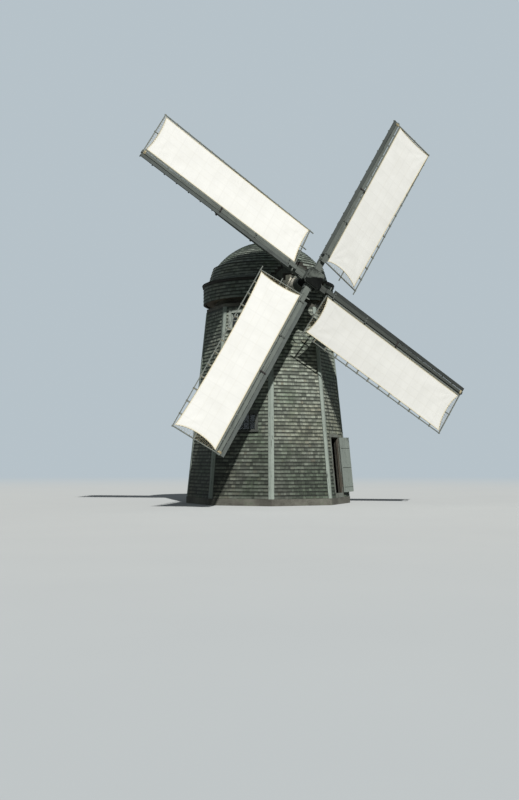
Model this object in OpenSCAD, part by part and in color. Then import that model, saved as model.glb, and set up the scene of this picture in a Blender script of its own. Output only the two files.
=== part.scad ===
// A traditional smock windmill in millimetres, one unit, ground at z = 0.
// The window face looks along -Y, the door face along +X, +Z is up.
// Azimuths are measured from -Y toward +X.

/* [Tower] */
// Radius over the tower corners at the ground
base_r = 3050; // [2700:10:3400]
// Lean of each corner line, inward per unit of height
batter = 0.104; // [0.08:0.002:0.12]
// Height of the tower walls
tower_h = 7150; // [6600:10:7600]
// Thickness of the framed and boarded wall
wall_t = 150; // [100:5:220]
// Height of the timber sill under the walls
sill_h = 240; // [160:10:320]
// Width of each corner board
corner_w = 95; // [60:5:140]
// Thickness of the corner boards
corner_t = 30; // [18:1:45]
// Height of the ground floor surface
floor_z = 380; // [300:10:500]
// Depth of the upper floor surface under the top of the walls
upper_floor_drop = 1700; // [1500:10:2100]
// Thickness of the floor boarding
floor_t = 50; // [30:5:80]

/* [Windows] */
// Width of the lower window opening
low_win_w = 800; // [500:10:900]
// Height of the lower window opening
low_win_h = 660; // [500:10:900]
// Height of the lower window sill along the wall
low_win_z = 2640; // [2200:10:3000]
// Sideways place of the lower window
low_win_x = 100; // [-200:10:200]
// Width of the upper window opening
up_win_w = 740; // [450:10:800]
// Height of the upper window opening
up_win_h = 640; // [400:10:700]
// Depth of the upper window sill under the top of the walls
up_win_drop = 820; // [800:10:1000]
// Sideways place of the upper window
up_win_x = -270; // [-290:10:290]
// Width of the window casing boards
casing_w = 70; // [50:5:90]
// Thickness of the glass
glass_t = 6; // [4:1:8]

/* [Door] */
// Clear width of the doorway
door_w = 880; // [760:10:1000]
// Clear height of the doorway along the wall
door_h = 2040; // [1850:10:2100]
// Sideways place of the doorway
door_x = -80; // [-150:10:100]
// Thickness of the plank leaf
leaf_t = 42; // [30:1:55]
// Gap round the leaf
leaf_gap = 7; // [6:1:12]
// How far the door stands open
door_open = 173; // [0:1:176]

/* [Cap] */
// Direction the windshaft points, from -Y toward +X
cap_az = 47; // [0:1:359]
// Radius of the round roof
roof_r = 2430; // [2400:5:2460]
// Height of the centre of the round roof over the top plate
roof_rise = 100; // [70:5:130]
// Thickness of the roof boarding
roof_t = 100; // [70:5:110]
// Height over the top plate where the round top passes into the steep foot of the roof
dome_rise = 1510; // [1460:10:1560]
// Radius of the steep foot of the roof at its top, where the round top steps in
step_r = 2080; // [2060:5:2110]
// Radius of the foot of the roof just over its eave
foot_r = 2240; // [2215:5:2270]
// Height of the underside of the eave over the top plate
eave_rise = 790; // [750:5:830]
// Reach of the eave
eave_r = 2480; // [2460:5:2510]
// Thickness of the edge of the eave
eave_t = 60; // [40:5:80]
// Rise of the kick over the eave
kick_h = 110; // [80:5:130]
// Radius of the round skirt
skirt_r = 2430; // [2415:1:2445]
// Thickness of the skirt
skirt_t = 55; // [40:1:60]
// Height of the foot of the skirt over the top plate
skirt_rise = 160; // [140:5:190]
// Distance of the front wall from the centre
front_d = 2050; // [2040:2:2070]
// Thickness of the boarded front wall
cap_wall_t = 50; // [35:1:50]
// How far the roof stands proud of the front wall
verge = 60; // [40:5:80]
// Thickness of the curb and of the ring that turns on it
ring_t = 100; // [80:5:110]
// Vertical running gap between curb and ring
ring_gap = 6; // [6:1:10]

/* [Windshaft] */
// Tilt of the windshaft
shaft_tilt = 4.5; // [3:0.5:7]
// Distance of the hub from the tower axis
hub_reach = 3320; // [3250:10:3450]
// Height of the hub over the top plate
hub_rise = 641; // [620:1:690]
// Radius of the windshaft between the poll end and the cap
head_r = 290; // [260:5:300]
// Radius of the journal that runs in the front beam
journal_r = 210; // [190:5:230]
// Radius of the windshaft inside the cap
shaft_r = 240; // [220:5:250]
// Radius of the tail journal
tail_r = 130; // [110:5:150]
// Width across the flats of the poll end
poll_w = 600; // [590:10:680]
// Length of the poll end
poll_l = 680; // [660:10:760]
// Width of the flats that take off the corners of the poll end
poll_chamfer = 80; // [60:5:110]

/* [Sails] */
// Angle of the first arm, clockwise from straight up seen from the front
sail_angle = -58; // [-90:1:90]
// Length of each arm from the hub
arm_l = 7290; // [6800:10:7400]
// Width of the stocks
stock_w = 220; // [180:5:240]
// Depth of the stocks
stock_d = 190; // [150:5:196]
// Length of each half of a stock
stock_l = 4100; // [3000:50:4500]
// Distance of the foot of the whips from the hub
whip_s = 700; // [650:10:740]
// Width of the whips at the foot
whip_w = 150; // [120:5:170]
// Width of the whips at the tip
whip_tip_w = 100; // [80:5:120]
// Depth of the whips
whip_d = 110; // [90:5:120]
// Number of sail bars in each sail
bar_n = 14; // [12:1:17]
// Place of the first sail bar
bar_s0 = 800; // [780:10:900]
// Distance of the last sail bar from the tip of the whip
bar_end = 40; // [40:5:100]
// Distance of the foot of the leading boards from the hub
lead_s = 970; // [950:10:1010]
// Width and depth of the sail bars
bar_t = 36; // [28:1:44]
// Reach of the bars on the driving side
frame_w = 1790; // [1600:10:1900]
// Reach of the bars on the leading side
lead_reach = 220; // [200:10:320]
// How far the rails run on past the heel bar
rail_over = 170; // [60:10:200]
// Weather angle at the heel
weather_heel = 12; // [6:0.5:18]
// Weather angle at the tip
weather_tip = 7; // [0:0.5:10]
// Inner edge of the cloth
cloth_in = 155; // [100:5:200]
// Outer edge of the cloth
cloth_out = 1730; // [1600:10:1800]
// Heel corner of the cloth
cloth_heel = 850; // [830:10:1000]
// Distance of the tip corner of the cloth from the whip tip
cloth_end = 90; // [80:5:160]
// Hollow of the heel and tip hems
hem_hollow = 110; // [40:5:160]
// Hollow of the outer side hem
side_hollow = 30; // [0:5:80]
// Hollow of the outer side hem of the slackest cloth
slack_hollow = 120; // [80:5:180]
// Thickness of the cloth
cloth_t = 4; // [3:1:6]

/* [Hidden] */
$fn = 96;
round_fn = 240;
t8 = tan(22.5);
c8 = cos(22.5);
ri0 = base_r * c8;
face_slope = batter * c8;
beta = atan(face_slope);
slab_t = wall_t * cos(beta);
plate_t = 120;
plate_z1 = tower_h + plate_t;
upper_floor_z = tower_h - upper_floor_drop;
up_win_z = tower_h - up_win_drop;
roof_cz = plate_z1 + roof_rise;
dome_z = plate_z1 + dome_rise;
eave_z = plate_z1 + eave_rise;
skirt_z = plate_z1 + skirt_rise;
hub_z = plate_z1 + hub_rise;
// Timbers of the base
sill_proud = 20;
sill_in = 230;
joist_pitch = 800;
joist_w = 140;
floor_clear = 5;
curb_z1 = plate_z1 + ring_t;
ring_z0 = curb_z1 + ring_gap;
ring_z1 = ring_z0 + ring_t;
cap_floor_t = 30;
cap_floor_z1 = ring_z1 + cap_floor_t;
curb_ri = 1700;
curb_ro = 1985;
seat = 0.2;
run_gap = 0.3;
// Larger than the mill, for cutting
big = 3 * base_r;
// How deep an opening is cut from the face of the wall
cut_y0 = -wall_t;
cut_y1 = 3 * wall_t;
casing_t = 34;
door_board_w = 90;
door_head_h = 100;
// Parts of a window
sill_board_t = 40;
sill_board_d = 75;
sill_ear = 30;
frame_d = 110;
frame_rail = 35;
frame_foot = 25;
groove_y = 40;
groove_x = 22;
groove_foot = 12;
// The closed leaf lies flush with the casing, the hinge line just proud of it
leaf_y = -casing_t;
barrel_r = 12;
pin_r = 7;
strap_t = 7;
strap_h = 50;
hook_h = 14;
hinge_y = leaf_y - barrel_r - 2;
stop_w = 28;
hinge_x = door_x + door_w / 2;
door_z0 = (floor_z + 20) / cos(beta);
leaf_w = door_w - 2 * leaf_gap;
leaf_h = door_h - 2 * leaf_gap;
plank_n = 6;
hinge_zs = [260, leaf_h - 330];
ledge_zs = [hinge_zs[0], (hinge_zs[0] + hinge_zs[1]) / 2, hinge_zs[1]];
foot_z = eave_z + eave_t + kick_h;
head_end = (hub_reach - front_d) / cos(shaft_tilt) - head_r * tan(shaft_tilt) - 15;
beam_w = 170;
beam_b = 180;
beam_x = 620;
beam_out = beam_x + beam_b / 2;
beam_back = 1900;
tail_beam_y = 1040;
tail_beam_b = 260;
tail_beam_drop = 150;
cross_w = 2 * beam_out;
journal_end = (hub_reach - front_d + cap_wall_t + beam_w) / cos(shaft_tilt) + 70;
tail_start = (hub_reach + tail_beam_y) / cos(shaft_tilt) - 123.5;
tail_end = tail_start + 500;
arc_n = 18;
skid_n = 12;
stock_off = 100;
bar_s1 = arm_l - bar_end;
bar_pitch = (bar_s1 - bar_s0) / (bar_n - 1);
clamp_t = 10;
// The straps sit in the middle of a bay between two bars
last_bay = floor((stock_l - 40 - bar_s0) / bar_pitch - 0.5);
clamp_s = [for (i = [0, floor(last_bay / 2), last_bay]) bar_s0 + (i + 0.5) * bar_pitch];

// Weather angle at a distance along the arm
function weather(s) =
    weather_heel + (weather_tip - weather_heel) * (s - bar_s0) / (bar_s1 - bar_s0);

// Plan wedge that belongs to one of the eight faces
module wedge(z0, z1) {
    translate([0, 0, z0])
        linear_extrude(height = z1 - z0)
            polygon([[0, 0], [big * t8, -big], [-big * t8, -big]]);
}

// Place things on the outer plane of one face, x sideways, y inward, z up the wall
module on_face(az) {
    rotate([0, 0, az])
        translate([0, -ri0, 0])
            rotate([-beta, 0, 0])
                children();
}

module face_slab(y0, y1) {
    translate([0, -ri0, 0])
        rotate([-beta, 0, 0])
            translate([-big / 2, y0, -wall_t])
                cube([big, y1 - y0, big]);
}

module face_box(x0, x1, y0, y1, z0, z1) {
    translate([0, -ri0, 0])
        rotate([-beta, 0, 0])
            translate([x0, y0, z0])
                cube([x1 - x0, y1 - y0, z1 - z0]);
}

module plain_face() {
    intersection() {
        face_slab(0, slab_t);
        wedge(sill_h, tower_h);
    }
}

// A straight walled octagon of a given distance over the flats
module octagon_prism(ri, z0, z1) {
    translate([0, 0, z0])
        linear_extrude(height = z1 - z0)
            polygon([for (k = [0:7]) [ri / c8 * sin(22.5 + 45 * k), -ri / c8 * cos(22.5 + 45 * k)]]);
}

module sill_ring() {
    color([0.42, 0.41, 0.38])
    difference() {
        octagon_prism(ri0 + sill_proud, 0, sill_h);
        octagon_prism(ri0 - sill_in, -10, sill_h + 10);
    }
}

module window_wall() {
    color([0.55, 0.56, 0.52])
    difference() {
        plain_face();
        face_box(low_win_x - low_win_w / 2, low_win_x + low_win_w / 2, cut_y0, cut_y1,
            low_win_z, low_win_z + low_win_h);
        face_box(up_win_x - up_win_w / 2, up_win_x + up_win_w / 2, cut_y0, cut_y1,
            up_win_z, up_win_z + up_win_h);
    }
}

module plain_walls_a() {
    color([0.55, 0.56, 0.52])
    for (az = [45, 135, 225, 315])
        rotate([0, 0, az]) plain_face();
}

module plain_walls_b() {
    color([0.53, 0.54, 0.5])
    for (az = [180, 270])
        rotate([0, 0, az]) plain_face();
}

module door_wall_left() {
    color([0.55, 0.56, 0.52])
    rotate([0, 0, 90])
    intersection() {
        plain_face();
        face_box(-big / 2, door_x - door_w / 2, cut_y0, cut_y1, 0, door_z0 + door_h);
    }
}

module door_wall_right() {
    color([0.55, 0.56, 0.52])
    rotate([0, 0, 90])
    intersection() {
        plain_face();
        face_box(door_x + door_w / 2, big / 2, cut_y0, cut_y1, 0, door_z0 + door_h);
    }
}

module door_wall_over() {
    color([0.55, 0.56, 0.52])
    rotate([0, 0, 90])
    intersection() {
        plain_face();
        face_box(-big / 2, big / 2, cut_y0, cut_y1, door_z0 + door_h, big);
    }
}

module corner_plank(side) {
    // Corner line in the plane of the face
    c0 = ri0 * t8;
    c1 = (ri0 - face_slope * big) * t8;
    zz = big / cos(beta);
    intersection() {
        translate([0, -ri0, 0])
            rotate([-beta, 0, 0])
                rotate([90, 0, 0])
                    linear_extrude(height = corner_t)
                        polygon([[side * (c0 - corner_w), 0], [side * (c0 + wall_t), 0],
                            [side * (c1 + wall_t), zz], [side * (c1 - corner_w), zz]]);
        wedge(sill_h, tower_h);
    }
}

module corner_boards() {
    color([0.66, 0.68, 0.63])
    for (k = [0:7])
        rotate([0, 0, 45 * k]) {
            corner_plank(1);
            rotate([0, 0, 45]) corner_plank(-1);
        }
}

module ground_floor() {
    color([0.5, 0.45, 0.38])
    octagon_prism(ri0 - face_slope * (floor_z - floor_t) - wall_t - floor_clear,
        floor_z - floor_t, floor_z);
}

module floor_joists() {
    color([0.42, 0.38, 0.32])
    intersection() {
        octagon_prism(ri0 - sill_in, 0, floor_z - floor_t);
        for (i = [-2:2])
            translate([-base_r, i * joist_pitch - joist_w / 2, -10])
                cube([2 * base_r, joist_w, floor_z]);
    }
}

module upper_floor() {
    color([0.5, 0.45, 0.38])
    octagon_prism(ri0 - face_slope * upper_floor_z - wall_t, upper_floor_z - floor_t, upper_floor_z);
}

module top_plate() {
    color([0.45, 0.44, 0.4])
    difference() {
        octagon_prism(ri0 - face_slope * tower_h + 14, tower_h + seat, plate_z1);
        translate([0, 0, tower_h - 10]) cylinder(r = curb_ri, h = plate_t + 20, $fn = round_fn);
    }
}

module curb() {
    color([0.4, 0.38, 0.34])
    difference() {
        translate([0, 0, plate_z1]) cylinder(r = curb_ro, h = ring_t, $fn = round_fn);
        translate([0, 0, plate_z1 - 10]) cylinder(r = curb_ri, h = ring_t + 20, $fn = round_fn);
    }
}

// A casing round an opening in a wall, with a sill board
module window_frame(cx, z0, w, h) {
    difference() {
        union() {
            translate([cx - w / 2 - casing_w, -casing_t, z0 - sill_board_t])
                cube([w + 2 * casing_w, casing_t, h + sill_board_t + casing_w]);
            translate([cx - w / 2, 0, z0])
                cube([w, frame_d, h]);
            translate([cx - w / 2 - casing_w - sill_ear, -sill_board_d, z0 - sill_board_t])
                cube([w + 2 * casing_w + 2 * sill_ear, sill_board_d, sill_board_t]);
        }
        translate([cx - w / 2 + frame_rail, cut_y0, z0 + frame_foot])
            cube([w - 2 * frame_rail, cut_y1 - cut_y0, h - frame_foot - frame_rail]);
        translate([cx - w / 2 + groove_x, groove_y, z0 + groove_foot])
            cube([w - 2 * groove_x, glass_t, h - groove_foot - groove_x]);
    }
}

module window_glass(cx, z0, w, h) {
    translate([cx - w / 2 + groove_x + seat, groove_y + seat, z0 + groove_foot + seat])
        cube([w - 2 * groove_x - 2 * seat, glass_t - 2 * seat, h - groove_foot - groove_x - 2 * seat]);
}

module lower_window_frame() {
    color([0.68, 0.7, 0.66])
    on_face(0) window_frame(low_win_x, low_win_z, low_win_w, low_win_h);
}

module upper_window_frame() {
    color([0.68, 0.7, 0.66])
    on_face(0) window_frame(up_win_x, up_win_z, up_win_w, up_win_h);
}

module lower_window_glass() {
    color([0.2, 0.24, 0.26])
    on_face(0) window_glass(low_win_x, low_win_z, low_win_w, low_win_h);
}

module upper_window_glass() {
    color([0.2, 0.24, 0.26])
    on_face(0) window_glass(up_win_x, up_win_z, up_win_w, up_win_h);
}

module door_casing() {
    color([0.72, 0.74, 0.7])
    on_face(90) {
        // Boards on the face of the wall
        translate([door_x - door_w / 2 - door_board_w, -casing_t, door_z0])
            cube([door_board_w, casing_t, door_h]);
        translate([door_x + door_w / 2, -casing_t, door_z0])
            cube([door_board_w, casing_t, door_h]);
        translate([door_x - door_w / 2 - door_board_w - 20, -casing_t - 6, door_z0 + door_h])
            cube([door_w + 2 * door_board_w + 40, casing_t + 6, door_head_h]);
        // Stops behind the leaf
        translate([door_x - door_w / 2, leaf_y + leaf_t + 6, door_z0])
            cube([stop_w, 40, door_h]);
        translate([door_x + door_w / 2 - stop_w, leaf_y + leaf_t + 6, door_z0])
            cube([stop_w, 40, door_h]);
        translate([door_x - door_w / 2, leaf_y + leaf_t + 6, door_z0 + door_h - stop_w])
            cube([door_w, 40, stop_w]);
    }
    // Threshold down to the sill
    color([0.72, 0.74, 0.7])
    rotate([0, 0, 90])
    intersection() {
        face_box(door_x - door_w / 2, door_x + door_w / 2, -50, slab_t, 0, door_z0);
        wedge(sill_h, door_h);
    }
}

// Hooks on the casing, with the pins that the straps turn on
module door_pintles() {
    color([0.25, 0.22, 0.2])
    on_face(90)
        for (z = hinge_zs)
            translate([hinge_x, hinge_y, door_z0 + z - strap_h / 2 - run_gap - hook_h]) {
                translate([0, 0, hook_h / 2]) cylinder(r = pin_r, h = hook_h / 2 + strap_h + 4);
                translate([-9, -9, 0]) cube([50, 18, hook_h]);
                translate([4, 8, -22]) cube([37, barrel_r + 2 - seat - 8, hook_h + 22]);
            }
}

// Turn about the leaning hinge line
module swing() {
    on_face(90)
        translate([hinge_x, hinge_y, 0])
            rotate([0, 0, door_open])
                translate([-hinge_x, -hinge_y, 0])
                    children();
}

module door_leaf() {
    color([0.5, 0.5, 0.46])
    swing() {
        for (i = [0:plank_n - 1])
            translate([door_x - door_w / 2 + leaf_gap + i * leaf_w / plank_n, leaf_y, door_z0 + leaf_gap])
                cube([leaf_w / plank_n - 3, leaf_t - 16, leaf_h]);
        for (z = ledge_zs)
            translate([door_x - door_w / 2 + leaf_gap + 34, leaf_y + leaf_t - 16.5, door_z0 + z - 60])
                cube([leaf_w - 70, 16.5, 120]);
    }
}

module door_straps() {
    color([0.25, 0.22, 0.2])
    swing()
        for (z = hinge_zs)
            translate([hinge_x, 0, door_z0 + z - strap_h / 2])
                difference() {
                    union() {
                        translate([-647, leaf_y - strap_t, 0]) cube([645, strap_t, strap_h]);
                        translate([0, hinge_y, 0]) cylinder(r = barrel_r, h = strap_h);
                    }
                    translate([0, hinge_y, -1]) cylinder(r = pin_r + run_gap, h = strap_h + 2);
                    for (x = [-590, -410, -230, -90])
                        translate([x, leaf_y - 20, strap_h / 2])
                            rotate([-90, 0, 0]) cylinder(d = 9, h = 40, $fn = 24);
                }
}

module cap_turn() {
    rotate([0, 0, cap_az]) children();
}

// Everything behind a level line across the front of the cap
module behind_front(d) {
    translate([-big, -d, 0]) cube([2 * big, 2 * big, 2 * big]);
}

// Round top as an arc, from the pole down to the steep foot
function dome_arc(r) =
    let (a1 = acos((dome_z - roof_cz) / roof_r))
    [for (i = [0:arc_n]) [r * sin(a1 * i / arc_n), roof_cz + r * cos(a1 * i / arc_n)]];

// Inner outline of the roof and skirt, from the pole down, a gap inside them
function cap_inside(gap) = concat(dome_arc(roof_r - roof_t - gap),
    [[foot_r - roof_t - gap, foot_z - gap], [foot_r - roof_t - gap, eave_z - gap],
        [skirt_r - skirt_t - gap, eave_z - gap]]);

function reversed(v) = [for (i = [len(v) - 1:-1:0]) v[i]];

module cap_ring() {
    color([0.4, 0.38, 0.34])
    cap_turn()
    difference() {
        translate([0, 0, ring_z0]) cylinder(r = curb_ro, h = ring_t, $fn = round_fn);
        translate([0, 0, ring_z0 - 10]) cylinder(r = curb_ri, h = ring_t + 20, $fn = round_fn);
    }
}

// Hardwood skids under the ring, they slide on the curb
module cap_skids() {
    color([0.34, 0.3, 0.26])
    cap_turn()
    for (k = [0:skid_n - 1])
        rotate([0, 0, k * 360 / skid_n])
            translate([-110, -(curb_ri + curb_ro) / 2 - 60, curb_z1 + run_gap])
                cube([220, 120, ring_gap - run_gap - seat]);
}

module cap_floor() {
    color([0.42, 0.4, 0.36])
    cap_turn()
    difference() {
        intersection() {
            translate([0, 0, ring_z1])
                cylinder(r = skirt_r - skirt_t - seat, h = cap_floor_t, $fn = round_fn);
            behind_front(front_d - cap_wall_t - seat);
        }
        translate([0, 0, ring_z1 - 10]) cylinder(r = curb_ri - 50, h = 100, $fn = round_fn);
    }
}

module cap_frame() {
    color([0.42, 0.39, 0.34])
    cap_turn()
    difference() {
        union() {
            for (x = [-1, 1])
                translate([x * beam_x - beam_b / 2, -front_d + cap_wall_t + seat, cap_floor_z1])
                    cube([beam_b, front_d - cap_wall_t + beam_back, beam_w]);
            translate([-beam_out, -front_d + cap_wall_t + seat, cap_floor_z1])
                cube([cross_w, beam_w, beam_w]);
            translate([-beam_out, tail_beam_y, cap_floor_z1 - tail_beam_drop])
                cube([cross_w, tail_beam_b, beam_w + tail_beam_drop]);
        }
        rotor_place() {
            rotate([-90, 0, 0]) cylinder(r = journal_r + run_gap, h = journal_end + journal_r);
            translate([0, tail_start - tail_r, 0])
                rotate([-90, 0, 0]) cylinder(r = tail_r + run_gap, h = tail_end - tail_start + 2 * tail_r);
        }
    }
}

module cap_skirt() {
    color([0.36, 0.38, 0.34])
    cap_turn()
    intersection() {
        difference() {
            translate([0, 0, skirt_z])
                cylinder(r = skirt_r, h = eave_z - seat - skirt_z, $fn = round_fn);
            translate([0, 0, skirt_z - 10])
                cylinder(r = skirt_r - skirt_t, h = dome_z - skirt_z, $fn = round_fn);
        }
        behind_front(front_d);
    }
}

// Flat wall across the front, its top follows the inside of the roof
module cap_front_wall() {
    color([0.34, 0.36, 0.32])
    cap_turn()
    difference() {
        intersection() {
            rotate_extrude($fn = round_fn)
                polygon(concat(cap_inside(seat), [[skirt_r - skirt_t - seat, skirt_z], [0, skirt_z]]));
            translate([-skirt_r, -front_d, skirt_z]) cube([2 * skirt_r, cap_wall_t, roof_r]);
        }
        rotor_place() rotate([-90, 0, 0]) cylinder(r = journal_r + 30, h = hub_reach);
    }
}

module cap_roof() {
    color([0.5, 0.53, 0.46])
    cap_turn()
    intersection() {
        rotate_extrude($fn = round_fn)
            polygon(concat(dome_arc(roof_r),
                [[step_r, dome_z - 20], [foot_r, foot_z], [eave_r, eave_z + eave_t], [eave_r, eave_z]],
                reversed(cap_inside(0))));
        behind_front(front_d + verge);
    }
}

// Frame of the windshaft and sails, the shaft points toward -Y
module rotor_place() {
    translate([0, -hub_reach, hub_z])
        rotate([-shaft_tilt, 0, 0])
            children();
}

module in_rotor() {
    cap_turn() rotor_place() children();
}

module in_arm(k) {
    in_rotor() rotate([0, sail_angle + 90 * k, 0]) children();
}

// Middle of the stock and of the whip of an arm, odd arms are in front
function stock_y(k) = (k % 2 == 0) ? stock_off : -stock_off;
function whip_y(k) = stock_y(k) - stock_d / 2 - whip_d / 2;

module shaft_part(y0, y1, r) {
    translate([0, y0, 0]) rotate([-90, 0, 0]) cylinder(r = r, h = y1 - y0);
}

module windshaft() {
    color([0.72, 0.68, 0.58])
    in_rotor() {
        shaft_part(poll_l / 2, head_end, head_r);
        shaft_part(head_end, journal_end, journal_r);
        shaft_part(journal_end, tail_start, shaft_r);
        shaft_part(tail_start, tail_end, tail_r);
    }
}

module stock_solid(k, gap) {
    rotate([0, sail_angle + 90 * k, 0])
        translate([0, stock_y(k) + stock_d / 2 + gap, 0])
            rotate([90, 0, 0])
                linear_extrude(height = stock_d + 2 * gap)
                    polygon([
                        [-stock_w / 2 - gap, -poll_w], [-stock_w / 2 + 30 - gap, -stock_l],
                        [stock_w / 2 - 30 + gap, -stock_l], [stock_w / 2 + gap, -poll_w],
                        [stock_w / 2 + gap, poll_w], [stock_w / 2 - 30 + gap, stock_l],
                        [-stock_w / 2 + 30 - gap, stock_l], [-stock_w / 2 - gap, poll_w]]);
}

// Square timber head set to the stocks, with its corners taken off
module poll_prism(grow, y0, y1) {
    h = poll_w / 2 + grow;
    c = poll_chamfer / sqrt(2) + grow * (2 - sqrt(2));
    rotate([0, sail_angle, 0])
        translate([0, y1, 0])
            rotate([90, 0, 0])
                linear_extrude(height = y1 - y0)
                    polygon([[-h + c, -h], [h - c, -h], [h, -h + c], [h, h - c],
                        [h - c, h], [-h + c, h], [-h, h - c], [-h, -h + c]]);
}

module poll_end() {
    color([0.5, 0.48, 0.42])
    in_rotor()
    difference() {
        poll_prism(0, -poll_l / 2, poll_l / 2);
        stock_solid(0, seat);
        stock_solid(1, seat);
    }
}

module poll_bands() {
    color([0.2, 0.18, 0.17])
    in_rotor()
        for (y = [-poll_l / 2 + 30, poll_l / 2 - 90])
            difference() {
                poll_prism(12, y, y + 60);
                poll_prism(seat, y - 5, y + 65);
            }
}

module stock_a() {
    color([0.5, 0.54, 0.52])
    in_rotor() stock_solid(0, 0);
}

module stock_b() {
    color([0.5, 0.54, 0.52])
    in_rotor() stock_solid(1, 0);
}

module bar(k, s, gap) {
    translate([0, whip_y(k), s])
        rotate([0, 0, weather(s)])
            translate([-lead_reach - gap, -bar_t / 2 - gap, -bar_t / 2 - gap])
                cube([lead_reach + frame_w + 2 * gap, bar_t + 2 * gap, bar_t + 2 * gap]);
}

module whips() {
    color([0.52, 0.55, 0.52])
    for (k = [0:3])
        in_arm(k)
            difference() {
                translate([0, whip_y(k) + whip_d / 2, 0])
                    rotate([90, 0, 0])
                        linear_extrude(height = whip_d)
                            polygon([[-whip_w / 2, whip_s], [whip_w / 2, whip_s],
                                [whip_tip_w / 2, arm_l], [-whip_tip_w / 2, arm_l]]);
                for (i = [0:bar_n - 1])
                    bar(k, bar_s0 + i * bar_pitch, seat);
            }
}

module clamp_block(k, s, grow, half) {
    translate([-stock_w / 2 - grow, whip_y(k) - whip_d / 2 - grow, s - half])
        cube([stock_w + 2 * grow, whip_d + stock_d + 2 * grow, 2 * half]);
}

module whip_clamps() {
    color([0.22, 0.2, 0.19])
    for (k = [0:3])
        in_arm(k)
            // Straps round the whip and the stock
            for (s = clamp_s) {
                difference() {
                    clamp_block(k, s, clamp_t, 30);
                    clamp_block(k, s, 0, 40);
                }
            }
}

// Straight lath through the bars at one reach
module lath(k, reach, w, t) {
    w0 = weather(bar_s0);
    w1 = weather(bar_s1);
    ax = reach * cos(w0);
    ay = reach * sin(w0);
    dx = reach * cos(w1) - ax;
    dy = reach * sin(w1) - ay;
    dz = bar_s1 - bar_s0;
    len = sqrt(dx * dx + dy * dy + dz * dz);
    translate([ax, whip_y(k) + ay, bar_s0])
        rotate([0, 0, atan2(dy, dx)])
            rotate([0, atan2(sqrt(dx * dx + dy * dy), dz), 0])
                rotate([0, 0, (w0 + w1) / 2 - atan2(dy, dx)])
                    translate([-w / 2, -t / 2, -rail_over])
                        cube([w, t, len + rail_over + 40]);
}

module sail_frame(k) {
    color([0.55, 0.57, 0.53])
    in_arm(k) {
        for (i = [0:bar_n - 1])
            bar(k, bar_s0 + i * bar_pitch, 0);
        lath(k, frame_w - 30, 34, 28);
        lath(k, 950, 34, 28);
    }
}

module leading_boards() {
    color([0.5, 0.54, 0.5])
    for (k = [0:3])
        in_arm(k)
            difference() {
                translate([0, whip_y(k), 0])
                    rotate([0, 0, (weather_heel + weather_tip) / 2])
                        translate([-lead_reach + 10, -bar_t / 2 - 22, lead_s])
                            cube([lead_reach - 10 - whip_w / 2 - 8, 30, arm_l - lead_s - 20]);
                for (i = [0:bar_n - 1])
                    bar(k, bar_s0 + i * bar_pitch, seat);
                for (s = clamp_s)
                    clamp_block(k, s, clamp_t + seat, 30 + seat);
            }
}

// Cloth laid on the front of the bars as a thin twisted sheet
cloth_nu = 6;
cloth_nv = 15;
function cloth_s(u, v) =
    let (a = cloth_heel + hem_hollow * 4 * u * (1 - u))
    let (b = arm_l - cloth_end - hem_hollow * 4 * u * (1 - u))
    a + (b - a) * v;
function cloth_point(k, u, v, y) =
    let (s = cloth_s(u, v))
    let (hollow = (k == 3) ? slack_hollow : side_hollow)
    let (c = cloth_in + (cloth_out - hollow * 4 * v * (1 - v) - cloth_in) * u)
    let (w = weather(s))
    [c * cos(w) - y * sin(w), whip_y(k) + c * sin(w) + y * cos(w), s];

module sail_cloth(k) {
    nu = cloth_nu;
    nv = cloth_nv;
    row = nu + 1;
    half = row * (nv + 1);
    yb = -bar_t / 2 - 0.8;
    yf = yb - cloth_t;
    back = [for (j = [0:nv]) for (i = [0:nu]) cloth_point(k, i / nu, j / nv, yb)];
    front = [for (j = [0:nv]) for (i = [0:nu]) cloth_point(k, i / nu, j / nv, yf)];
    cell = [for (j = [0:nv - 1]) for (i = [0:nu - 1]) j * row + i];
    color([0.95, 0.94, 0.9])
    in_arm(k)
    polyhedron(points = concat(back, front), faces = concat(
        [for (q = cell) [q, q + row, q + row + 1]],
        [for (q = cell) [q, q + row + 1, q + 1]],
        [for (q = cell) [half + q, half + q + row + 1, half + q + row]],
        [for (q = cell) [half + q, half + q + 1, half + q + row + 1]],
        [for (i = [0:nu - 1]) [i, i + 1, half + i + 1]],
        [for (i = [0:nu - 1]) [i, half + i + 1, half + i]],
        [for (i = [0:nu - 1]) let (q = nv * row + i) [q, half + q + 1, q + 1]],
        [for (i = [0:nu - 1]) let (q = nv * row + i) [q, half + q, half + q + 1]],
        [for (j = [0:nv - 1]) let (q = j * row) [q, half + q, half + q + row]],
        [for (j = [0:nv - 1]) let (q = j * row) [q, half + q + row, q + row]],
        [for (j = [0:nv - 1]) let (q = j * row + nu) [q, half + q + row, half + q]],
        [for (j = [0:nv - 1]) let (q = j * row + nu) [q, q + row, half + q + row]]
    ));
}

module sail_frame_1() { sail_frame(0); }
module sail_frame_2() { sail_frame(1); }
module sail_frame_3() { sail_frame(2); }
module sail_frame_4() { sail_frame(3); }
module sail_cloth_1() { sail_cloth(0); }
module sail_cloth_2() { sail_cloth(1); }
module sail_cloth_3() { sail_cloth(2); }
module sail_cloth_4() { sail_cloth(3); }

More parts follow.
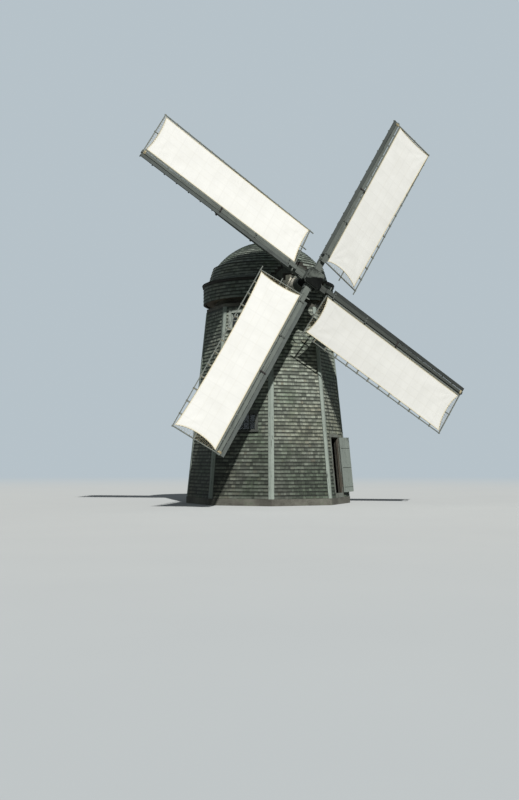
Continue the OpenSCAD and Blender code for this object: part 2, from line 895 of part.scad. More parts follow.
sill_ring();
window_wall();
plain_walls_a();
plain_walls_b();
door_wall_left();
door_wall_right();
door_wall_over();
corner_boards();
floor_joists();
ground_floor();
upper_floor();
top_plate();
curb();
lower_window_frame();
upper_window_frame();
lower_window_glass();
upper_window_glass();
door_casing();
door_pintles();
door_leaf();
door_straps();
cap_ring();
cap_skids();
cap_floor();
cap_frame();
cap_skirt();
cap_front_wall();
cap_roof();
windshaft();
poll_end();
poll_bands();
stock_a();
stock_b();
whips();
whip_clamps();
leading_boards();
sail_frame_1();
sail_frame_2();
sail_frame_3();
sail_frame_4();
sail_cloth_1();
sail_cloth_2();
sail_cloth_3();
sail_cloth_4();
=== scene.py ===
# %% [markdown]
# # A traditional smock windmill
# The real mill is an eight-sided timber tower hung with shingles, a round cap that turns on a curb,
# and four lattice sails with canvas laced over them. The CAD parts come in first and stay where they
# are. Everything that is modelled here is fitted to them: shingles, sashes, ropes, nails and cloths.

# %% Load the CAD frame
import math
import bpy
import numpy as np
from mathutils import Matrix, Vector


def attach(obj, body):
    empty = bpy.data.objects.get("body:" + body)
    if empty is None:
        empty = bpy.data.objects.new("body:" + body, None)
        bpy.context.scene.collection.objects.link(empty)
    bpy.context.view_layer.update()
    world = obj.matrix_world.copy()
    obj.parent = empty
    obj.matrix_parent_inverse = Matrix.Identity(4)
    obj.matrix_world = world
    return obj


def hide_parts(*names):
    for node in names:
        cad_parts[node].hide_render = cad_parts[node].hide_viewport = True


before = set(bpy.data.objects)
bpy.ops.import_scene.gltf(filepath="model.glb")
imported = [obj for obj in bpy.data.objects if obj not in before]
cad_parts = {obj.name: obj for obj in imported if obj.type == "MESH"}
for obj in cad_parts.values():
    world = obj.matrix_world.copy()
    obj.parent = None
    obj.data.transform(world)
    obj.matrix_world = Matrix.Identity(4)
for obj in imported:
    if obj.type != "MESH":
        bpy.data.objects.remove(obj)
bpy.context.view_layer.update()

# %% [markdown]
# ## The camera
# The mill is seen from standing height, about 40 m away, a little to the right of the window face. A
# lens can be guessed by eye, but the tower's corners, the door and the four sail tips fix it better:
# the numbers below put all of them within a pixel or two in a frame of 519 by 800.

# %% Camera at the viewing angle
frame_w, frame_h = 519, 800
focal_px = 1058.0
sensor_mm = 36
centre_up_px, centre_left_px = 60.0, 8.8
view_azimuth = math.radians(20.5)
view_distance = 39.8
eye_height = 1.6


def deselect():
    """Leaves edit mode and selects nothing."""
    if bpy.context.object and bpy.context.object.mode != "OBJECT":
        bpy.ops.object.mode_set(mode="OBJECT")
    bpy.ops.object.select_all(action="DESELECT")


deselect()
bpy.ops.object.camera_add(
    location=(view_distance * math.sin(view_azimuth), -view_distance * math.cos(view_azimuth), eye_height),
    rotation=(math.pi / 2 + math.atan(centre_up_px / focal_px), 0,
              view_azimuth + math.atan(centre_left_px / focal_px)))
camera = bpy.context.object
camera.data.sensor_width = sensor_mm
camera.data.lens = focal_px / frame_h * sensor_mm
camera.data.clip_end = 400
bpy.context.scene.camera = camera
print("lens", round(camera.data.lens, 2), "mm for", frame_w, "by", frame_h)

# %% [markdown]
# ## Light and floor
# Open sunshine from the right of the camera shapes the tower, so one soft-edged sun does the work and
# the world fills the shade. The floor is a wide pale disc that fades into the backdrop's colour far
# away. Only the camera, mirrors and glass see it pale: to the light it is dull, so that it throws
# little back onto the mill.

# %% Sun and world
backdrop = (0.47, 0.54, 0.585)
sun_azimuth, sun_height = math.radians(39.5), math.radians(43)
sun_from = Vector((math.sin(sun_azimuth) * math.cos(sun_height),
                   -math.cos(sun_azimuth) * math.cos(sun_height), math.sin(sun_height)))
bpy.ops.object.light_add(type="SUN", location=sun_from * 30, rotation=sun_from.to_track_quat("Z", "Y").to_euler())
sun = bpy.context.object
sun.data.energy = 3.95
sun.data.angle = 0.022
sun.data.color = (1.0, 0.975, 0.93)


def add(tree, kind, inputs=None, **settings):
    """A node with its settings, and its inputs set to values or joined to other nodes' outputs."""
    new = tree.nodes.new(kind)
    for key, value in settings.items():
        setattr(new, key, value)
    for key, value in (inputs or {}).items():
        socket = new.inputs[key]
        if isinstance(value, bpy.types.NodeSocket):
            tree.links.new(value, socket)
        else:
            socket.default_value = (*value, 1) if socket.type == "RGBA" else value
    return new


def maths(tree, operation, a, b=0.0, c=0.0, clamp=False):
    return add(tree, "ShaderNodeMath", {0: a, 1: b, 2: c}, operation=operation, use_clamp=clamp).outputs[0]


def seen_directly(tree):
    """1 for camera, mirror and glass rays, 0 for the rays that carry light."""
    path = add(tree, "ShaderNodeLightPath").outputs
    both = maths(tree, "MAXIMUM", path["Is Camera Ray"], path["Is Glossy Ray"])
    return maths(tree, "MAXIMUM", both, path["Is Transmission Ray"])


world = bpy.data.worlds.new("studio")
bpy.context.scene.world = world
bpy.context.scene.view_settings.view_transform = "Standard"
world.use_nodes = True
tree = world.node_tree
tree.nodes.clear()
fill = add(tree, "ShaderNodeBackground", {"Color": (0.86, 0.94, 1.0), "Strength": 0.16})
pale = add(tree, "ShaderNodeBackground", {"Color": backdrop, "Strength": 1.0})
either = add(tree, "ShaderNodeMixShader", {0: seen_directly(tree), 1: fill.outputs[0], 2: pale.outputs[0]})
add(tree, "ShaderNodeOutputWorld", {"Surface": either.outputs[0]})
print("sun from azimuth", round(math.degrees(sun_azimuth), 1))

# %% Pale floor
floor_radius, floor_drop = 260, 0.002
fade_from, fade_to = 14.0, 70.0


def times(tree, a, b):
    return maths(tree, "MULTIPLY", a, b)


def blend(tree, amount, first, second, mode="MIX"):
    return add(tree, "ShaderNodeMix", {0: amount, 6: first, 7: second}, data_type="RGBA", blend_type=mode).outputs[2]


def noise(tree, place, scale, detail, rough=0.5, distortion=0.0):
    return add(tree, "ShaderNodeTexNoise", {"Vector": place, "Scale": scale, "Detail": detail,
                                            "Roughness": rough, "Distortion": distortion}).outputs[0]


def upright(tree):
    """A point's place in the model. Where it drives a grain, the fibres stand along Z."""
    return add(tree, "ShaderNodeTexCoord").outputs["Object"]


def new_finish(name):
    finish = bpy.data.materials.new(name)
    finish.use_nodes = True
    finish.node_tree.nodes.clear()
    return finish, finish.node_tree


def settle():
    """Writes the place, turn and size of the selected piece into its mesh."""
    bpy.ops.object.transform_apply(location=True, rotation=True, scale=True)


deselect()
bpy.ops.mesh.primitive_circle_add(vertices=96, radius=floor_radius, fill_type="NGON", location=(0, 0, -floor_drop))
floor = bpy.context.object
floor.name = "pale_floor"
settle()
floor_finish, tree = new_finish("pale_floor")
place = upright(tree)
away = add(tree, "ShaderNodeVectorMath", {0: place}, operation="LENGTH").outputs["Value"]
far = add(tree, "ShaderNodeMapRange", {0: away, 1: fade_from, 2: fade_to}, interpolation_type="SMOOTHSTEP").outputs[0]
tint = blend(tree, noise(tree, place, 0.35, 4.0), (0.545, 0.57, 0.58), (0.575, 0.60, 0.605))
matt = add(tree, "ShaderNodeBsdfDiffuse", {"Color": blend(tree, seen_directly(tree), (0.13, 0.14, 0.12), tint)})
glow = add(tree, "ShaderNodeEmission", {"Color": backdrop, "Strength": 1.0})
mixed = add(tree, "ShaderNodeMixShader",
            {0: times(tree, far, seen_directly(tree)), 1: matt.outputs[0], 2: glow.outputs[0]})
add(tree, "ShaderNodeOutputMaterial", {"Surface": mixed.outputs[0]})
floor.data.materials.append(floor_finish)
print("floor radius", floor_radius, "m")

# %% [markdown]
# ## Shared effects
# Weathered timber is on nearly every piece: grey fibres, open checks along the grain, pale and mossy
# patches. Each effect is a node group with its own inputs, so a board, a shingle and a spar can share
# it with other numbers. The grain group expects the fibres to run along Z.

# %% Grain group
V, F = "NodeSocketVector", "NodeSocketFloat"


def plus(tree, a, b):
    return maths(tree, "ADD", a, b)


def minus(tree, a, b):
    return maths(tree, "SUBTRACT", a, b)


def ranged(tree, value, low, high, start=0.0, end=1.0):
    """Runs from start to end while the value runs from low to high, and stays there outside."""
    return add(tree, "ShaderNodeMapRange", {0: value, 1: low, 2: high, 3: start, 4: end}).outputs[0]


def new_group(name, inputs, outputs):
    group = bpy.data.node_groups.new(name, "ShaderNodeTree")
    for label, kind, value in inputs:
        socket = group.interface.new_socket(label, in_out="INPUT", socket_type=kind)
        if value is not None:
            socket.default_value = value
    for label in outputs:
        group.interface.new_socket(label, in_out="OUTPUT", socket_type=F)
    return group, add(group, "NodeGroupInput").outputs, add(group, "NodeGroupOutput").inputs


def give(group, out, **values):
    """Joins what the group puts out to its outputs."""
    for label, value in values.items():
        group.links.new(value, out[label])
    print("group", group.name)


def scaled(tree, place, by):
    """A place stretched by one number, or by a number for each axis."""
    if isinstance(by, tuple):
        return add(tree, "ShaderNodeVectorMath", {0: place, 1: by}, operation="MULTIPLY").outputs[0]
    return add(tree, "ShaderNodeVectorMath", {0: place, "Scale": by}, operation="SCALE").outputs[0]


grain, got, out = new_group("timber_grain", [("Place", V, None), ("Size", F, 1.0)], ["Fibres", "Checks", "Height"])
sized = scaled(grain, scaled(grain, got["Place"], (55.0, 55.0, 2.2)), got["Size"])
fine = noise(grain, sized, 1.0, 5.0, 0.62)
broad = noise(grain, sized, 0.22, 3.0, distortion=0.6)
fibres = plus(grain, times(grain, fine, 0.6), times(grain, broad, 0.4))
checks = ranged(grain, noise(grain, sized, 0.7, 2.0, 0.4), 0.62, 0.70)
give(grain, out, Fibres=fibres, Checks=checks, Height=minus(grain, fibres, times(grain, checks, 0.7)))

# %% Weathering group
weathering, got, out = new_group("weathering", [("Place", V, None), ("Size", F, 1.0)],
                                 ["Patches", "Lichen", "Streaks"])
sized = scaled(weathering, got["Place"], got["Size"])
patches = noise(weathering, sized, 1.3, 6.0, 0.6)
speck = noise(weathering, sized, 9.0, 5.0, 0.7)
run = noise(weathering, scaled(weathering, sized, (7.0, 7.0, 0.5)), 1.0, 4.0)
give(weathering, out, Patches=patches, Lichen=ranged(weathering, times(weathering, speck, patches), 0.28, 0.42),
     Streaks=ranged(weathering, run, 0.42, 0.72))

# %% Boards group
def part_of(tree, place, axis):
    return add(tree, "ShaderNodeSeparateXYZ", {0: place}).outputs[axis]


def size_of(tree, value):
    return maths(tree, "ABSOLUTE", value)


# Boards side by side across X: a tone for each board and a mask of the joints between them.
boards, got, out = new_group("boards", [("Place", V, None), ("Width", F, 0.2)], ["Tone", "Joint"])
steps = maths(boards, "DIVIDE", part_of(boards, got["Place"], "X"), got["Width"])
tone = add(boards, "ShaderNodeTexWhiteNoise", {"W": maths(boards, "FLOOR", steps)}, noise_dimensions="1D")
edge = size_of(boards, minus(boards, maths(boards, "FRACT", steps), 0.5))
give(boards, out, Tone=tone.outputs["Value"], Joint=ranged(boards, edge, 0.475, 0.495))

# %% Weave group
# Warp and weft as two sets of ridges that cross, and slubs where a thread is thicker for a stretch.
weave, got, out = new_group("canvas_weave", [("Place", V, None), ("Threads", F, 600.0)], ["Height", "Slubs"])
threads = scaled(weave, got["Place"], got["Threads"])
warp, weft = (maths(weave, "SINE", part_of(weave, threads, axis)) for axis in "XY")
slubs = noise(weave, scaled(weave, got["Place"], (2.0, 90.0, 1.0)), 1.0, 3.0)
give(weave, out, Height=times(weave, times(weave, warp, weft), 0.5), Slubs=slubs)

# %% [markdown]
# ## Finishes
# A finish here is three woods' colours mixed by the grain, darkened in the checks and tinted by moss.
# What differs between pieces is where the fibres run. Upright boards use the model's own Z, floors
# lie along X, sail timbers need the windshaft's slanted frame, and shingles carry their own
# coordinates, so that no two neighbours share a grain.

# %% Where the fibres run
cap_turned, shaft_tilt, first_arm = math.radians(47), math.radians(4.5), math.radians(-58)
hub_out, hub_height = 3.32, 7.911
cap_matrix = Matrix.Rotation(cap_turned, 4, "Z")
rotor_matrix = cap_matrix @ Matrix.Translation((0, -hub_out, hub_height)) @ Matrix.Rotation(-shaft_tilt, 4, "X")


def arm_matrix(k):
    return rotor_matrix @ Matrix.Rotation(first_arm + k * math.pi / 2, 4, "Y")


def reordered(tree, place, order):
    """A place with its axes in another order, so that the fibres run along another one."""
    split = add(tree, "ShaderNodeSeparateXYZ", {0: place}).outputs
    return add(tree, "ShaderNodeCombineXYZ", {i: split[axis] for i, axis in enumerate(order)}).outputs[0]


def lying(order):
    return lambda tree: reordered(tree, upright(tree), order)


def in_frame(tree, matrix):
    """A point's place as seen from a frame that stands elsewhere and turned."""
    return add(tree, "ShaderNodeMapping", {"Vector": upright(tree), "Location": matrix.to_translation(),
                                           "Rotation": matrix.to_euler()}, vector_type="TEXTURE").outputs[0]


def second_pair(tree, local):
    """1 on the upper right and lower left arms, 0 on the other two, in the first arm's frame."""
    split = add(tree, "ShaderNodeSeparateXYZ", {0: local}).outputs
    return maths(tree, "GREATER_THAN", size_of(tree, split["X"]), size_of(tree, split["Z"]))


def along_arms(tree):
    """Fibres along whichever of the four arms the point belongs to."""
    local = in_frame(tree, arm_matrix(0))
    return add(tree, "ShaderNodeMix", {0: second_pair(tree, local), 4: local, 5: reordered(tree, local, "ZYX")},
               data_type="VECTOR").outputs[1]


def along_shaft(tree):
    return reordered(tree, in_frame(tree, rotor_matrix), "XZY")


def own_grain(tree):
    return add(tree, "ShaderNodeAttribute", attribute_name="grain_place").outputs["Vector"]


print("hub at", [round(c, 3) for c in rotor_matrix.to_translation()])

# %% Surface of a finish and tones of the shingles
# Colour of the painted shade at the butts and under each course of shingles.
painted_course_shade = (0.018, 0.022, 0.019)


def multiplied(tree, colour, by):
    return blend(tree, 1.0, colour, by, "MULTIPLY")


def skinned(tree, colour, rough, height, strength, distance, more=None):
    """Ends a finish with its colour, roughness and relief, and with more inputs where it has them."""
    relief = add(tree, "ShaderNodeBump", {"Height": height, "Strength": strength, "Distance": distance})
    skin = add(tree, "ShaderNodeBsdfPrincipled", {"Base Color": colour, "Roughness": rough,
                                                  "Normal": relief.outputs[0], **(more or {})})
    add(tree, "ShaderNodeOutputMaterial", {"Surface": skin.outputs[0]})


def shingled(tree, colour, where, pull, tones):
    """Gives each shingle its own tone, wide damp and dry stretches, and painted shade at its butt and under the next
    course.
    """
    tone = add(tree, "ShaderNodeAttribute", attribute_name="tone").outputs["Fac"]
    ramp = add(tree, "ShaderNodeValToRGB", {0: tone})
    stops = ramp.color_ramp.elements
    for position, shade in tones[1:-1]:
        stops.new(position).color = (*shade, 1)
    for end in (0, -1):
        stops[end].color = (*tones[end][1], 1)
    colour = blend(tree, 0.80, colour, ramp.outputs[0])
    colour = blend(tree, times(tree, pull, 0.5), colour, multiplied(tree, colour, (1.5, 1.5, 1.5)))
    wide = noise(tree, upright(tree), 0.55, 3.0, 0.55)
    damp, dry = ranged(tree, wide, 0.50, 0.64, end=0.75), ranged(tree, wide, 0.47, 0.34, end=0.75)
    colour = blend(tree, damp, colour, multiplied(tree, colour, (0.62, 0.74, 0.64)))
    colour = blend(tree, dry, colour, multiplied(tree, colour, (1.30, 1.22, 1.10)))
    # Painted shade: darker at the butt and in the band under the next course's butt, where the course above casts its
    # shadow.
    up = part_of(tree, where, "Z")
    upper, butt = ranged(tree, up, 0.056, 0.105), ranged(tree, up, 0.010, 0.0)
    shade = maths(tree, "MAXIMUM", times(tree, upper, 0.92), times(tree, butt, 0.80))
    return blend(tree, shade, colour, painted_course_shade)


print("shade under a course", painted_course_shade)

# %% A weathered timber finish
wood_rough, wood_relief = 0.82, 0.35
open_check, open_joint = (0.02, 0.02, 0.018), (0.01, 0.01, 0.008)


def timber(name, woods, moss, place=upright, size=1.0, moss_amount=0.5, board_width=None, paint=None,
           painted=None, tint=None, tones=None, shine=0.3):
    """Weathered wood, from its dark, middle and light colours. Paint still covers part of it, or of the
    side that painted marks, tint pales or darkens it by place, and tones are for single shingles."""
    finish, tree = new_finish(name)
    dark, middle, light = woods
    where = place(tree)
    worn = add(tree, "ShaderNodeGroup", {"Place": upright(tree), "Size": 1.0}, node_tree=weathering).outputs
    fibre = add(tree, "ShaderNodeGroup", {"Place": where, "Size": size}, node_tree=grain).outputs
    pull = ranged(tree, fibre["Fibres"], 0.34, 0.66)
    colour = blend(tree, ranged(tree, worn["Patches"], 0.42, 0.62), blend(tree, pull, dark, middle), light)
    tall = fibre["Height"]
    if paint:
        kept = ranged(tree, plus(tree, fibre["Fibres"], worn["Patches"]), 1.22, 0.98)
        kept = maths(tree, "SUBTRACT", kept, times(tree, fibre["Checks"], 0.8), clamp=True)
        if painted:
            kept = times(tree, kept, painted(tree))
        colour = blend(tree, kept, colour, paint)
        tall = plus(tree, tall, times(tree, kept, 0.5))
    if tones:
        colour = shingled(tree, colour, where, pull, tones)
    if board_width:
        plank = add(tree, "ShaderNodeGroup", {"Place": where, "Width": board_width}, node_tree=boards).outputs
        colour = blend(tree, times(tree, plank["Tone"], 0.45), colour, dark)
        colour = blend(tree, plank["Joint"], colour, open_joint)
        tall = minus(tree, tall, times(tree, plank["Joint"], 3.0))
    if tint:
        colour = multiplied(tree, colour, tint(tree))
    for mask, amount, over in ((fibre["Checks"], 0.55, open_check), (worn["Streaks"], 0.22, dark),
                               (worn["Lichen"], moss_amount, moss)):
        colour = blend(tree, times(tree, mask, amount), colour, over)
    rough = ranged(tree, fibre["Fibres"], 0.0, 1.0, wood_rough - 0.08, wood_rough + 0.12)
    skinned(tree, colour, rough, tall, wood_relief, 0.004, {"Specular IOR Level": shine})
    return finish


print("timber can be made with", len(bpy.data.node_groups), "groups")

# %% Walls, roof and boards
moss = (0.092, 0.128, 0.080)
wall_tones = [(0.0, (0.043, 0.048, 0.041)), (0.3, (0.095, 0.105, 0.089)), (0.6, (0.158, 0.175, 0.149)),
              (0.88, (0.230, 0.255, 0.217)), (1.0, (0.120, 0.114, 0.088))]
roof_tones = [(0.0, (0.071, 0.082, 0.071)), (0.35, (0.141, 0.161, 0.141)), (0.7, (0.212, 0.241, 0.212)),
              (0.92, (0.283, 0.323, 0.283)), (1.0, (0.123, 0.135, 0.105))]


def bleached_upward(tree):
    """Walls are damp and dark at the foot, and paler the higher they stand in the sun and wind."""
    return ranged(tree, part_of(tree, upright(tree), "Z"), 0.8, 4.4, 0.69, 1.74)


wall_shingle_finish = timber(
    "weathered_wall_shingles", [(0.067, 0.074, 0.063), (0.135, 0.150, 0.128), (0.187, 0.208, 0.177)],
    moss, own_grain, tint=bleached_upward, tones=wall_tones, moss_amount=0.45)
roof_shingle_finish = timber(
    "mossy_roof_shingles", [(0.097, 0.109, 0.097), (0.168, 0.191, 0.168), (0.221, 0.250, 0.221)],
    moss, own_grain, tones=roof_tones, moss_amount=0.60)
corner_finish = timber(
    "pale_corner_boards", [(0.163, 0.190, 0.171), (0.249, 0.290, 0.261), (0.297, 0.345, 0.310)],
    (0.172, 0.200, 0.180), paint=(0.316, 0.368, 0.331), moss_amount=0.35)
sheathing_finish = timber(
    "dark_sheathing", [(0.022, 0.021, 0.018), (0.042, 0.040, 0.034), (0.060, 0.057, 0.049)],
    moss, lying("ZYX"), board_width=0.18, moss_amount=0.1)
brow_finish = timber(
    "weathered_brow_boards", [(0.050, 0.057, 0.050), (0.090, 0.103, 0.091), (0.122, 0.138, 0.122)],
    moss, board_width=0.13)
sill_finish = timber(
    "old_base_timber", [(0.07, 0.068, 0.058), (0.14, 0.138, 0.12), (0.19, 0.19, 0.165)],
    moss, lying("ZYX"), moss_amount=0.6)
plank_finish = timber(
    "floor_planks", [(0.11, 0.085, 0.058), (0.20, 0.165, 0.12), (0.25, 0.215, 0.165)],
    (0.12, 0.11, 0.09), lying("YZX"), board_width=0.22, moss_amount=0.2)
beam_finish = timber(
    "cap_beams", [(0.08, 0.065, 0.048), (0.15, 0.125, 0.095), (0.19, 0.165, 0.13)],
    (0.10, 0.10, 0.08), lying("XZY"), moss_amount=0.2)
print("wall and roof finishes ready")

# %% Spars, poll end and windshaft
def arm_wear(tree):
    """The lower left arm is the newest and palest, and the one on the lower right the oldest and darkest."""
    local = in_frame(tree, arm_matrix(0))
    split = add(tree, "ShaderNodeSeparateXYZ", {0: local}).outputs
    first = maths(tree, "MULTIPLY_ADD", maths(tree, "GREATER_THAN", split["Z"], 0.0), 0.50, 0.46)
    second = maths(tree, "MULTIPLY_ADD", maths(tree, "LESS_THAN", split["X"], 0.0), 0.28, 0.98)
    return add(tree, "ShaderNodeMix", {0: second_pair(tree, local), 2: first, 3: second}).outputs[0]


def painted_lit_top(tree):
    """1 on the upper half of the poll end, which takes the spar paint as a painted lit top over a lower half kept
    near black as painted shade.
    """
    height = part_of(tree, upright(tree), "Z")
    return ranged(tree, plus(tree, height, times(tree, noise(tree, upright(tree), 9.0, 4.0), 0.12)), 7.985, 8.025)


def neck_band(tree):
    """1 on the neck of the shaft, just outside the front wall of the cap."""
    behind = part_of(tree, along_shaft(tree), "Z")
    return times(tree, maths(tree, "GREATER_THAN", behind, 0.78), maths(tree, "LESS_THAN", behind, 1.40))


spar_paint = (0.129, 0.147, 0.135)
spar_finish = timber(
    "weathered_spars", [(0.060, 0.068, 0.063), (0.104, 0.118, 0.109), (0.132, 0.150, 0.138)],
    (0.075, 0.085, 0.078), along_arms, paint=spar_paint, tint=arm_wear)
leading_finish = timber(
    "weathered_leading_boards", [(0.039, 0.045, 0.043), (0.068, 0.078, 0.074), (0.090, 0.104, 0.099)],
    (0.061, 0.070, 0.067), along_arms, paint=(0.084, 0.097, 0.092), tint=arm_wear)
lattice_finish = timber(
    "weathered_lattice", [(0.083, 0.092, 0.085), (0.144, 0.160, 0.147), (0.180, 0.200, 0.184)],
    (0.099, 0.110, 0.101), size=1.3, paint=(0.176, 0.195, 0.179), moss_amount=0.4)
# The poll end is near black below as painted shade, and in spar paint above as a painted lit top.
poll_finish = timber(
    "dark_poll_end_painted_shade", [(0.004, 0.005, 0.005), (0.008, 0.009, 0.009), (0.013, 0.015, 0.014)],
    (0.05, 0.06, 0.045), along_shaft, paint=spar_paint, painted=painted_lit_top, moss_amount=0.05, shine=0.04)
shaft_finish = timber(
    "weathered_windshaft", [(0.060, 0.066, 0.058), (0.100, 0.112, 0.100), (0.135, 0.148, 0.132)],
    (0.10, 0.12, 0.08), along_shaft, paint=(0.760, 0.740, 0.640), painted=neck_band, moss_amount=0.2)
print("sail timber finishes ready")

# %% Painted joinery
corner_radius, batter = 3.050, 0.104
half_side = math.radians(22.5)
base_in, face_slope = corner_radius * math.cos(half_side), batter * math.cos(half_side)
lean = math.atan(face_slope)


def outer_side(tree):
    """1 on what stands out from the door wall, 0 on the linings inside its doorway."""
    radial = math.cos(lean)
    out = add(tree, "ShaderNodeVectorMath", {0: upright(tree), 1: (radial, 0, math.sqrt(1 - radial ** 2))},
              operation="DOT_PRODUCT").outputs["Value"]
    return maths(tree, "GREATER_THAN", out, base_in * radial + 0.002)


hatch_finish = timber(
    "painted_hatch", [(0.34, 0.33, 0.27), (0.50, 0.49, 0.41), (0.58, 0.57, 0.49)],
    (0.22, 0.24, 0.17), paint=(0.74, 0.74, 0.66), moss_amount=0.25)
trim_finish = timber(
    "painted_window_trim", [(0.153, 0.170, 0.155), (0.243, 0.270, 0.246), (0.297, 0.330, 0.300)],
    (0.149, 0.165, 0.150), paint=(0.342, 0.380, 0.346), moss_amount=0.3)
# A darker copy of the window trim for the lower window's frame and sash: painted shade, where the sail's shadow lies
# on it.
trim_in_painted_shade_finish = timber(
    "window_trim_in_painted_shade", [(0.034, 0.038, 0.035), (0.059, 0.066, 0.060), (0.081, 0.090, 0.082)],
    (0.072, 0.080, 0.073), paint=(0.092, 0.102, 0.093), moss_amount=0.3)
door_finish = timber(
    "pale_door_planks", [(0.117, 0.135, 0.124), (0.196, 0.225, 0.207), (0.244, 0.280, 0.258)],
    (0.131, 0.150, 0.138), paint=(0.252, 0.290, 0.267), moss_amount=0.3)
casing_finish = timber(
    "door_casing_boards", [(0.035, 0.030, 0.023), (0.075, 0.065, 0.050), (0.105, 0.092, 0.074)],
    (0.08, 0.085, 0.06), paint=(0.184, 0.205, 0.184), painted=outer_side, moss_amount=0.15)
print("timber finishes", len(bpy.data.materials) - 1)

# %% [markdown]
# Iron, glass, rope and canvas are not wood. Forged iron is nearly black with rust where water stands.
# Old glass is clear but a little wavy. The canvas carries its weave and seams on its own map, which is
# laid out in metres, and keeps a band of yellowed hem along its edges.

# %% Iron, glass and rope
iron_finish, tree = new_finish("rusty_iron")
rust = noise(tree, upright(tree), 22.0, 7.0, 0.7)
spread = ranged(tree, rust, 0.42, 0.62)
skinned(tree, blend(tree, spread, (0.030, 0.029, 0.028), (0.105, 0.052, 0.028)),
        plus(tree, 0.45, times(tree, spread, 0.4)), rust, 0.4, 0.002,
        {"Metallic": minus(tree, 0.8, times(tree, spread, 0.7))})

# The straps were painted with the spars, and have lost the paint beyond the first one on each arm.
strap_finish, tree = new_finish("painted_straps")
spot = noise(tree, upright(tree), 16.0, 6.0, 0.65)
reach = add(tree, "ShaderNodeVectorMath", {0: upright(tree), 1: rotor_matrix.to_translation()},
            operation="DISTANCE").outputs["Value"]
bare = maths(tree, "MAXIMUM", ranged(tree, plus(tree, reach, spot), 3.7, 3.9), ranged(tree, spot, 0.68, 0.76))
skinned(tree, blend(tree, bare, (0.086, 0.098, 0.090), (0.022, 0.019, 0.017)),
        plus(tree, 0.6, times(tree, spot, 0.3)), spot, 0.4, 0.002)

glass_finish, tree = new_finish("old_window_glass")
dust = noise(tree, upright(tree), 14.0, 5.0)
skinned(tree, blend(tree, dust, (0.62, 0.70, 0.68), (0.80, 0.85, 0.83)), times(tree, dust, 0.22),
        noise(tree, upright(tree), 6.0, 1.0), 0.25, 0.01, {"Transmission Weight": 1.0, "IOR": 1.45})

rope_finish, tree = new_finish("hemp_rope")
lay = add(tree, "ShaderNodeTexWave", {"Vector": upright(tree), "Scale": 32.0, "Distortion": 2.0, "Detail": 2.0},
          bands_direction="DIAGONAL").outputs["Fac"]
skinned(tree, blend(tree, lay, (0.30, 0.25, 0.15), (0.56, 0.50, 0.33)), plus(tree, 0.8, times(tree, lay, 0.15)),
        lay, 0.6, 0.003)
print("iron, glass and rope finishes ready")

# %% Canvas
# The bars and the middle lath behind the cloth show through it faintly where it is pressed on them, as painted shade
# lines.
bar_first, bar_last, bar_count = 0.800, 7.250, 14
bar_pitch = (bar_last - bar_first) / (bar_count - 1)
lath_across = 0.950
panel_width = 0.56
canvas_finish, tree = new_finish("sail_canvas")
cloth_map = add(tree, "ShaderNodeUVMap", uv_map="cloth").outputs[0]
woven = add(tree, "ShaderNodeGroup", {"Place": cloth_map, "Threads": 1400.0}, node_tree=weave).outputs
hem_distance = add(tree, "ShaderNodeAttribute", attribute_name="hem").outputs["Fac"]
hem_band = ranged(tree, hem_distance, 0.050, 0.040)
stitch = times(tree, ranged(tree, hem_distance, 0.038, 0.043), hem_band)


def off_middle(tree, value, pitch):
    """How far a value is from the middle of its pitch, from 0 to a half."""
    return size_of(tree, minus(tree, maths(tree, "FRACT", maths(tree, "DIVIDE", value, pitch)), 0.5))


seam_band = ranged(tree, off_middle(tree, part_of(tree, cloth_map, "X"), panel_width), 0.462, 0.472)
on_arm = add(tree, "ShaderNodeSeparateXYZ", {0: along_arms(tree)}).outputs
from_hub = minus(tree, size_of(tree, on_arm["Z"]), bar_first - bar_pitch / 2)
off_lath = size_of(tree, minus(tree, size_of(tree, on_arm["X"]), lath_across))
# Painted shade: faint dark lines along the bars and the middle lath behind the canvas.
painted_bar_shade = maths(tree, "MAXIMUM", ranged(tree, off_middle(tree, from_hub, bar_pitch), 0.060, 0.026),
                ranged(tree, off_lath, 0.028, 0.012))
soiled = ranged(tree, noise(tree, cloth_map, 1.1, 6.0, 0.62), 0.40, 0.68, end=0.40)
colour = blend(tree, soiled, (0.830, 0.840, 0.824), (0.700, 0.706, 0.682))
for mask, amount, over in ((woven["Slubs"], 0.14, (0.63, 0.615, 0.565)), (painted_bar_shade, 0.13, (0.60, 0.60, 0.58)),
                           (seam_band, 0.14, (0.67, 0.65, 0.58)), (hem_band, 0.55, (0.74, 0.69, 0.50)),
                           (stitch, 0.30, (0.40, 0.36, 0.26))):
    colour = blend(tree, times(tree, mask, amount), colour, over)
tall = plus(tree, times(tree, woven["Height"], 0.25), times(tree, maths(tree, "MAXIMUM", seam_band, hem_band), 0.6))
skinned(tree, colour, plus(tree, 0.80, times(tree, woven["Slubs"], 0.15)), tall, 0.35, 0.0015, {"Sheen Weight": 0.15})
print("canvas finish ready")

# %% [markdown]
# ## Finishing the CAD parts
# The CAD parts keep their shapes. Their material slots are given the finishes above, by what each
# part is made of.

